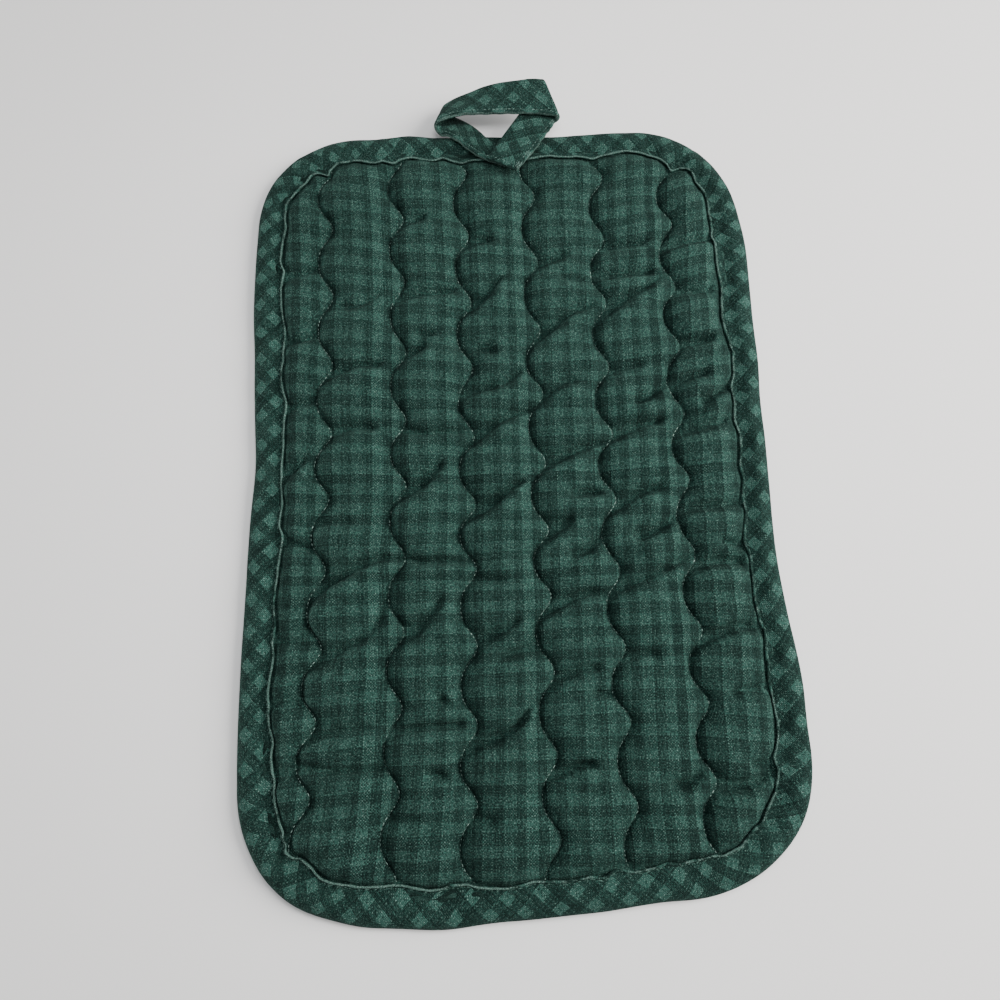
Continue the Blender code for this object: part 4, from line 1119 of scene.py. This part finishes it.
def make_loop(material):
    """The hanging loop: a stiff strip turned back on itself, with both ends sewn down."""
    lines, length = loop_lines()
    count, corners = lines.shape[:2]
    faces = strip_faces(lines, closed=False)
    half = corners // 2
    for first in (0, (count - 1) * corners):
        for j in range(half):
            a, b = j, j + 1
            c, d = (corners - j - 1) % corners, (corners - j) % corners
            face = [first + k for k in dict.fromkeys((a, b, c, d))]
            if len(face) > 2:
                faces.append(face)
    across, uv = strip_cloth(lines, length)
    from_fold = (across - across[LOOP_FOLD]) / 0.9
    rub_and_painted_light = 0.4 + 0.3 * waves(length / 2.5, LOOP_SEED + 1)
    wear_and_painted_light = np.clip(rub_and_painted_light, 0, 1)[:, None] * np.exp(-(from_fold[None] ** 2))
    from_slit = np.minimum(across, across[-1] - across) / 0.72
    rub_and_painted_light = 0.88 + 0.2 * waves(length / 1.6, LOOP_SEED + 2)
    wear_and_painted_light = np.maximum(wear_and_painted_light, np.clip(rub_and_painted_light, 0, 1)[:, None] * np.exp(-(from_slit[None] ** 4)))
    for x, y, z, reach, strength in LOOP_WORN:
        away = ((lines - (x, y, z)) ** 2).sum(2) / reach ** 2
        wear_and_painted_light = np.maximum(wear_and_painted_light, strength * np.exp(-away))
    piece = new_piece("hanging_loop", lines.reshape(-1, 3), faces, material, uv, wear_and_painted_light.ravel())
    return piece, lines


# ================================================================ node trees
class Value:
    """A socket's output that takes part in arithmetic. Each operation adds a Math node."""

    def __init__(self, nodes, socket):
        self.nodes = nodes
        self.socket = socket

    def math(self, operation, *others):
        """The result of a Math node on this value and any others."""
        settings = {"operation": operation}
        made = self.nodes.make("ShaderNodeMath", settings, dict(enumerate((self, *others))))
        return self.nodes.value(made, 0)

    def __add__(self, other):
        return self.math("ADD", other)

    def __sub__(self, other):
        return self.math("SUBTRACT", other)

    def __rsub__(self, other):
        return (self * -1) + other

    def __mul__(self, other):
        return self.math("MULTIPLY", other)

    def __truediv__(self, other):
        return self.math("DIVIDE", other)

    __radd__ = __add__
    __rmul__ = __mul__

    def floor(self):
        return self.math("FLOOR")

    def fraction(self):
        return self.math("FRACT")

    def size(self):
        return self.math("ABSOLUTE")

    def sine(self):
        return self.math("SINE")

    def below(self, other):
        return self.math("LESS_THAN", other)

    def held(self):
        """Kept between 0 and 1."""
        return self.math("MAXIMUM", 0.0).math("MINIMUM", 1.0)


class Nodes:
    """A node tree that is being filled."""

    def __init__(self, tree):
        self.tree = tree

    def make(self, kind, settings=None, inputs=None):
        """Adds a node: its settings first, then the values or links of its inputs."""
        node = self.tree.nodes.new(kind)
        for name, setting in (settings or {}).items():
            setattr(node, name, setting)
        for name, given in (inputs or {}).items():
            socket = node.inputs[name]
            if isinstance(given, Value):
                given = given.socket
            if isinstance(given, bpy.types.NodeSocket):
                self.tree.links.new(given, socket)
            else:
                socket.default_value = given
        return node

    def value(self, node, output=0):
        """One of a node's outputs, for arithmetic."""
        return Value(self, node.outputs[output])

    def mix(self, share, low, high):
        """Between two colours."""
        node = self.make("ShaderNodeMix", {"data_type": "RGBA"}, {0: share, 6: low, 7: high})
        return node.outputs[2]

    def noise(self, vector, scale, detail=2.0, roughness=0.5):
        """Cloudy noise from about 0 to 1."""
        inputs = {"Vector": vector, "Scale": scale, "Detail": detail, "Roughness": roughness}
        return self.value(self.make("ShaderNodeTexNoise", None, inputs))

    def random_at(self, number):
        """A random number from 0 to 1 that belongs to a whole number."""
        node = self.make("ShaderNodeTexWhiteNoise", {"noise_dimensions": "1D"}, {"W": number})
        return self.value(node)

    def join(self, x, y):
        """A vector from two values."""
        return self.make("ShaderNodeCombineXYZ", None, {"X": x, "Y": y}).outputs[0]


def new_material(name):
    """An empty material, and its node tree to fill."""
    material = bpy.data.materials.new(name)
    material.use_nodes = True
    material.node_tree.nodes.clear()
    return material, Nodes(material.node_tree)


def finish_material(nodes, colour, roughness, height, distance, sheen):
    """Ends a cloth or thread material in its shader. Height is in shares of a distance."""
    inputs = {"Strength": 1.0, "Distance": distance, "Height": height}
    bump = nodes.make("ShaderNodeBump", None, inputs)
    inputs = {
        "Base Color": colour, "Roughness": roughness, "Normal": bump.outputs[0],
        "Sheen Weight": sheen, "Sheen Roughness": 0.5, "Sheen Tint": (0.4, 0.7, 0.6, 1),
        "Specular IOR Level": 0.06,
    }
    shader = nodes.make("ShaderNodeBsdfPrincipled", None, inputs)
    nodes.make("ShaderNodeOutputMaterial", None, {"Surface": shader.outputs[0]})


DARK_YARN = (0.0029, 0.0110, 0.0091, 1)
LIGHT_YARN = (0.0275, 0.0800, 0.0635, 1)
GREY_YARN = (0.0300, 0.0570, 0.0500, 1)
FLECK_AND_HIGHLIGHT = (0.1250, 0.2050, 0.1750, 1)
RUBBED_AND_HIGHLIGHT_YARN = (0.0480, 0.0980, 0.0810, 1)
WORN_YARN = (0.24, 0.34, 0.30, 1)


# How much the yarns differ in tone: each one, each stripe's and along their length. The first
# yarn of a light stripe is paler still.
YARN_TONES = 0.26
STRIPE_TONES = 0.14
YARN_THICKNESS = 0.45
YARN_SLUBS = 0.3
STRIPE_START = 0.2
STRIPE_START_SHARE = 0.07  # of a repeat


def check_cloth(name, turn, start, lightness, crossing):
    """Cotton woven in a small dark green check.

    Turn and start place it on the flat cloth. Lightness is how much paler the light stripes
    are, in the warp and the weft, and crossing is what the squares have more where two meet.
    """
    material, nodes = new_material(name)
    flat = nodes.make("ShaderNodeUVMap", {"uv_map": "cloth"}).outputs[0]
    settings = {"vector_type": "POINT"}
    inputs = {"Vector": flat, "Location": (*start, 0), "Rotation": (0, 0, turn)}
    placed = nodes.make("ShaderNodeMapping", settings, inputs).outputs[0]
    parts = nodes.make("ShaderNodeSeparateXYZ", None, {"Vector": placed})
    u, v = nodes.value(parts, 0), nodes.value(parts, 1)
    warp_number, weft_number = (u / YARN).floor(), (v / YARN).floor()
    tones, stripes = [], []
    for across, along, number, around, lighter, seed in (
        (u, v, warp_number, CHECK_AROUND, lightness[0], 3.0),
        (v, u, weft_number, CHECK_ALONG, lightness[1], 57.0),
    ):
        repeats = number * YARN / around
        place = repeats.fraction()
        light = place.below(0.5)
        first = place.below(STRIPE_START_SHARE)
        stripe = nodes.random_at((repeats * 2).floor() + seed)
        thick = nodes.noise(nodes.join(across * 2.1 + seed, along * 0.16), 1.0, 2.0)
        slub = nodes.noise(nodes.join(across * 1.2 + seed, along * 0.75), 1.0, 1.0)
        own = nodes.random_at(number + seed)
        tone = light * lighter + first * STRIPE_START + (own - 0.5) * YARN_TONES
        tone = tone + (stripe - 0.5) * STRIPE_TONES
        tones.append(tone + (thick - 0.5) * YARN_THICKNESS + (slub - 0.5) * YARN_SLUBS)
        stripes.append(light)
    warp, weft = tones
    # Over is 1 where the warp yarn lies on top and 0 where the weft yarn does.
    over = ((warp_number + weft_number) * 0.5).fraction() * 2
    speck = nodes.random_at(warp_number + weft_number * 7.31)
    plain = (warp + weft) * 0.5 + (warp - weft) * (over - 0.5) * 0.9
    plain = plain + stripes[0] * stripes[1] * crossing
    # Painted highlight and shade: crossings where the warp lies on top are painted lighter, those
    # where the weft does darker, as light falls on the crowns.
    tone = (plain * (0.68 + over * 0.64) + (speck - 0.5) * (plain * 0.92 + 0.28) + 0.175).held()
    fleck_and_highlight = ((nodes.noise(placed, 2.1, 1.0) - 0.55) * 9).held()
    patchy = nodes.noise(placed, 0.11, 3.0)
    grey = nodes.noise(placed, 0.9, 2.0)
    colour = nodes.mix(tone, DARK_YARN, LIGHT_YARN)
    colour = nodes.mix(((grey - 0.45) * 1.6).held() * tone * 0.55, colour, GREY_YARN)
    colour = nodes.mix(((patchy - 0.42) * 0.5).held() * 0.35, colour, GREY_YARN)
    # Pale fibre flecks, partly painted highlights on the yarn tops, stronger where the warp lies on
    # top.
    colour = nodes.mix(fleck_and_highlight * (tone * 0.7 + 0.1) * (0.6 + over * 0.8), colour, FLECK_AND_HIGHLIGHT)
    # Where it is worn the cloth is first paler, then fuzzy with broken fibres; on the binding's
    # fold the paleness is partly a painted highlight.
    wear_and_painted_light = nodes.value(nodes.make("ShaderNodeAttribute", {"attribute_name": "wear_and_painted_light"}), 2)
    rubbed = nodes.noise(placed, 2.0, 4.0, 0.7)
    colour = nodes.mix(((wear_and_painted_light - 0.68) * 4).held() * 0.9, colour, RUBBED_AND_HIGHLIGHT_YARN)
    fuzz = wear_and_painted_light.math("MINIMUM", 0.7)
    colour = nodes.mix(((fuzz + rubbed - 1.19) * 9).held() * (fuzz * 0.6 + 0.2), colour, WORN_YARN)
    across = (u / YARN * math.pi).sine().size()
    along = (v / YARN * math.pi).sine().size()
    weave = across * along + (nodes.noise(placed, 3.0, 3.0) - 0.5) * 0.9
    roughness = 0.86 + (grey - 0.5) * 0.12
    finish_material(nodes, colour, roughness, weave, 0.00018, 0.015)
    return material


def thread(name, colour, pale):
    """Twisted sewing thread, paler here and there."""
    material, nodes = new_material(name)
    place = nodes.make("ShaderNodeTexCoord").outputs["Object"]
    blotch = nodes.noise(place, 1100.0, 3.0)
    shade = nodes.mix(((blotch - 0.47) * 9).held(), (*colour, 1), (*pale, 1))
    twist = nodes.noise(place, 3600.0, 1.0)
    finish_material(nodes, shade, 0.6 + blotch * 0.2, twist, 0.00004, 0.05)
    return material


# ================================================================ stitches
def stitch_tree():
    """Sets stitches along the edges of a mesh, a pitch apart."""
    tree = bpy.data.node_groups.new("row of stitches", "GeometryNodeTree")
    face = tree.interface
    face.new_socket("Geometry", in_out="INPUT", socket_type="NodeSocketGeometry")
    for name in ("Pitch", "Length", "Thread", "Unevenness"):
        face.new_socket(name, in_out="INPUT", socket_type="NodeSocketFloat")
    face.new_socket("Seed", in_out="INPUT", socket_type="NodeSocketInt")
    face.new_socket("Finish", in_out="INPUT", socket_type="NodeSocketMaterial")
    face.new_socket("Geometry", in_out="OUTPUT", socket_type="NodeSocketGeometry")
    nodes = Nodes(tree)
    given = nodes.make("NodeGroupInput")
    pitch, length, width, uneven, seed = (nodes.value(given, k) for k in range(1, 6))
    curve = nodes.make("GeometryNodeMeshToCurve", None, {"Mesh": given.outputs[0]})
    settings = {"mode": "LENGTH"}
    inputs = {"Curve": curve.outputs[0], "Length": pitch}
    spaced = nodes.make("GeometryNodeResampleCurve", settings, inputs)
    tangent = nodes.make("GeometryNodeInputTangent")
    stray = random_vector(nodes, -0.2, 0.2, seed)
    inputs = {0: tangent.outputs[0], 1: stray}
    heading = nodes.make("ShaderNodeVectorMath", {"operation": "ADD"}, inputs)
    inputs = {"Vector": heading.outputs[0]}
    turned = nodes.make("FunctionNodeAlignRotationToVector", {"axis": "X"}, inputs)
    share = 1 + uneven * random_number(nodes, seed + 7)
    size = nodes.make("ShaderNodeCombineXYZ", None, {
        "X": length * 0.5 * share, "Y": width * 0.5, "Z": width * 0.42,
    })
    ball = nodes.make("GeometryNodeMeshUVSphere", None, {"Segments": 7, "Rings": 6, "Radius": 1.0})
    stitches = nodes.make("GeometryNodeInstanceOnPoints", None, {
        "Points": spaced.outputs[0], "Instance": ball.outputs[0],
        "Rotation": turned.outputs[0], "Scale": size.outputs[0],
    })
    real = nodes.make("GeometryNodeRealizeInstances", None, {"Geometry": stitches.outputs[0]})
    soft = nodes.make("GeometryNodeSetShadeSmooth", None, {"Geometry": real.outputs[0]})
    inputs = {"Geometry": soft.outputs[0], "Material": given.outputs["Finish"]}
    dressed = nodes.make("GeometryNodeSetMaterial", None, inputs)
    nodes.make("NodeGroupOutput", None, {0: dressed.outputs[0]})
    return tree


def random_number(nodes, seed):
    """A random number from -1 to 1 for each point."""
    inputs = {2: -1.0, 3: 1.0, 8: seed}
    return nodes.value(nodes.make("FunctionNodeRandomValue", {"data_type": "FLOAT"}, inputs), 1)


def random_vector(nodes, low, high, seed):
    """A random vector for each point."""
    settings = {"data_type": "FLOAT_VECTOR"}
    inputs = {0: (low,) * 3, 1: (high,) * 3, 8: seed}
    return nodes.make("FunctionNodeRandomValue", settings, inputs).outputs[0]


def sew(name, rows, sizes, tree, material, seed):
    """A piece of stitches that follow rows of places in mm."""
    points, edges = [], []
    for row in rows:
        first = len(points)
        points += [tuple((np.array(p) + (*PAD_MIDDLE, 0)) * MM) for p in row]
        edges += [(first + k, first + k + 1) for k in range(len(row) - 1)]
    guide = bpy.data.meshes.new(name)
    guide.from_pydata(points, edges, [])
    holder = bpy.data.objects.new(name, guide)
    bpy.context.scene.collection.objects.link(holder)
    modifier = holder.modifiers.new("stitches", "NODES")
    modifier.node_group = tree
    given = [item for item in tree.interface.items_tree if item.in_out == "INPUT"]
    sockets = {item.name: item.identifier for item in given}
    for key, size in sizes.items():
        modifier[sockets[key]] = size * MM
    modifier[sockets["Unevenness"]] = STITCH_UNEVENNESS
    modifier[sockets["Seed"]] = seed
    modifier[sockets["Finish"]] = material
    depsgraph = bpy.context.evaluated_depsgraph_get()
    mesh = bpy.data.meshes.new_from_object(holder.evaluated_get(depsgraph))
    mesh.name = name
    bpy.data.objects.remove(holder)
    piece = bpy.data.objects.new(name, mesh)
    bpy.context.scene.collection.objects.link(piece)
    return piece


def quilting_rows(edge, face):
    """The sewn lines on the pad's face and back."""
    rows = []
    y = np.arange(-150, 150.1, 0.5)
    for number in range(len(LINES)):
        xy = np.stack([line_x(number, y)[0], y], 1)
        inside, width = edge.inset(xy)
        top = xy[inside > width + 0.3] - (0.3, 0)
        rows.append(np.column_stack([top, face.heights(top) + 0.14]))
        below = xy[inside > BINDING_WIDTH_BELOW + 0.3]
        rows.append(np.column_stack([below, under_heights(below, edge) - 0.1]))
    return rows


def binding_rows(lines):
    """The stitched groove of the binding, on the top and on the underside."""
    top = lines[:, SEAM_OF_SECTION] + (0, 0, 0.08)
    below = lines[:, UNDER_SEAM_OF_SECTION] - (0, 0, 0.08)
    return [np.concatenate([row, row[:1]]) for row in (top, below)]


def loop_rows(lines):
    """The stitched groove along both faces of the loop, and a row across each sewn end."""
    rows = []
    for seam, opposite in zip(LOOP_SEAMS, reversed(LOOP_SEAMS)):
        out = lines[:, seam] - lines[:, opposite]
        out /= np.linalg.norm(out, axis=1)[:, None]
        rows.append((lines[:, seam] + 0.08 * out)[LOOP_END:-LOOP_END])
    for end in (LOOP_END, len(lines) - 1 - LOOP_END):
        faces = [lines[end, face] for face in LOOP_FACES]
        rows.append(max(faces, key=lambda row: row[:, 2].mean()) + (0, 0, 0.08))
    return rows


# ================================================================ the studio
CAMERA = {  # fitted to the photograph, in mm around the model's origin
    "place": (-16.245, -86.214, 283.138), "turn": (13.85, -1.48, -2.45),
    "lens": 27.04, "sensor": 36.0,
}
LIGHTS = [  # name, place, size across and along, power in watts, colour
    ("light from the right", (1.0, 0.06, 0.56), (0.5, 0.9), 31.8, (1.0, 0.985, 0.96)),
    ("light above the pad", (0.01, 0.04, 0.33), (0.12, 0.12), 0.62, (0.96, 0.98, 1.0)),
    ("low light from the left", (-1.2, 0.0, 0.11), (1.0, 0.12), 12.4, (1.0, 0.985, 0.97)),
]
ROOM_BRIGHTNESS = 0.42
FLOOR_REACH = 4.0
FLOOR_DROP = 0.0003  # it clears the stitches on the underside


def make_floor():
    """A plain pale floor."""
    material, nodes = new_material("pale floor")
    place = nodes.make("ShaderNodeTexCoord").outputs["Object"]
    cloud = nodes.noise(place, 1.7, 2.0)
    shade = nodes.mix(cloud, (0.87, 0.855, 0.845, 1), (0.91, 0.90, 0.89, 1))
    finish_material(nodes, shade, 0.75 + cloud * 0.1, cloud, 0.0001, 0.0)
    mesh = bpy.data.meshes.new("floor")
    corners = [
        (x * FLOOR_REACH, y * FLOOR_REACH, -FLOOR_DROP)
        for x, y in ((-1, -1), (1, -1), (1, 1), (-1, 1))
    ]
    mesh.from_pydata(corners, [], [(0, 1, 2, 3)])
    mesh.materials.append(material)
    floor = bpy.data.objects.new("floor", mesh)
    bpy.context.scene.collection.objects.link(floor)


def make_lights():
    """A soft light from the right, two fainter ones from above and the left, and a pale room."""
    for name, place, size, power, colour in LIGHTS:
        lamp = bpy.data.lights.new(name, "AREA")
        lamp.shape = "RECTANGLE"
        lamp.size, lamp.size_y = size
        lamp.energy = power
        lamp.color = colour
        light = bpy.data.objects.new(name, lamp)
        light.location = place
        light.visible_camera = False
        light.rotation_euler = (-Vector(place)).to_track_quat("-Z", "Y").to_euler()
        bpy.context.scene.collection.objects.link(light)
    world = bpy.data.worlds.new("pale room")
    world.use_nodes = True
    sky = world.node_tree.nodes["Background"]
    sky.inputs["Color"].default_value = (0.95, 0.97, 1.0, 1)
    sky.inputs["Strength"].default_value = ROOM_BRIGHTNESS
    bpy.context.scene.world = world


def make_camera():
    """The camera at the photograph's place."""
    lens = bpy.data.cameras.new("camera")
    lens.sensor_width = CAMERA["sensor"]
    lens.lens = CAMERA["lens"]
    lens.clip_start, lens.clip_end = 0.01, 20
    camera = bpy.data.objects.new("camera", lens)
    camera.location = Vector(CAMERA["place"]) * MM
    camera.rotation_euler = Euler([math.radians(a) for a in CAMERA["turn"]])
    bpy.context.scene.collection.objects.link(camera)
    bpy.context.scene.camera = camera


def build():
    """Makes every piece and the studio, hangs each piece on the root body and hides the model's
    parts that the pad, binding and loop replace.
    """
    edge = Edge(EDGE_POINTS)
    face = Face(edge)
    pad_cloth = check_cloth("pad check cloth", 0.0, CHECK_START, (0.235, 0.455), 0.07)
    pad = make_pad(edge, face, pad_cloth)
    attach(pad, "root")
    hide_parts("pad")

    bias_cloth = check_cloth("bias check cloth", math.radians(45), (0, 0), (0.12, 0.24), 0.6)
    binding, binding_at = make_binding(Edge(BINDING_STATIONS), bias_cloth)
    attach(binding, "root")
    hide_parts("binding")

    loop_cloth = check_cloth("loop check cloth", math.radians(45), (2.0, 1.0), (0.14, 0.27), 0.5)
    loop, loop_at = make_loop(loop_cloth)
    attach(loop, "root")
    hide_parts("loop")

    tree = stitch_tree()
    quilting_thread = thread("quilting thread", (0.014, 0.035, 0.028), (0.30, 0.42, 0.37))
    loop_thread = thread("loop thread", (0.012, 0.034, 0.028), (0.15, 0.24, 0.21))
    seam_thread = thread("seam thread", (0.012, 0.032, 0.026), (0.09, 0.17, 0.14))
    sewn = [
        (
            "quilting_stitches", quilting_rows(edge, face), QUILTING_STITCH, quilting_thread,
            "check_cotton",
        ),
        ("binding_stitches", binding_rows(binding_at), BINDING_STITCH, seam_thread, "bias_cotton"),
        ("loop_stitches", loop_rows(loop_at), LOOP_STITCH, loop_thread, "loop_cotton"),
    ]
    for seed, (name, rows, sizes, finish, slot) in enumerate(sewn):
        stitches = sew(name, rows, sizes, tree, finish, seed)
        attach(stitches, "root")

    make_floor()
    make_lights()
    make_camera()


build()
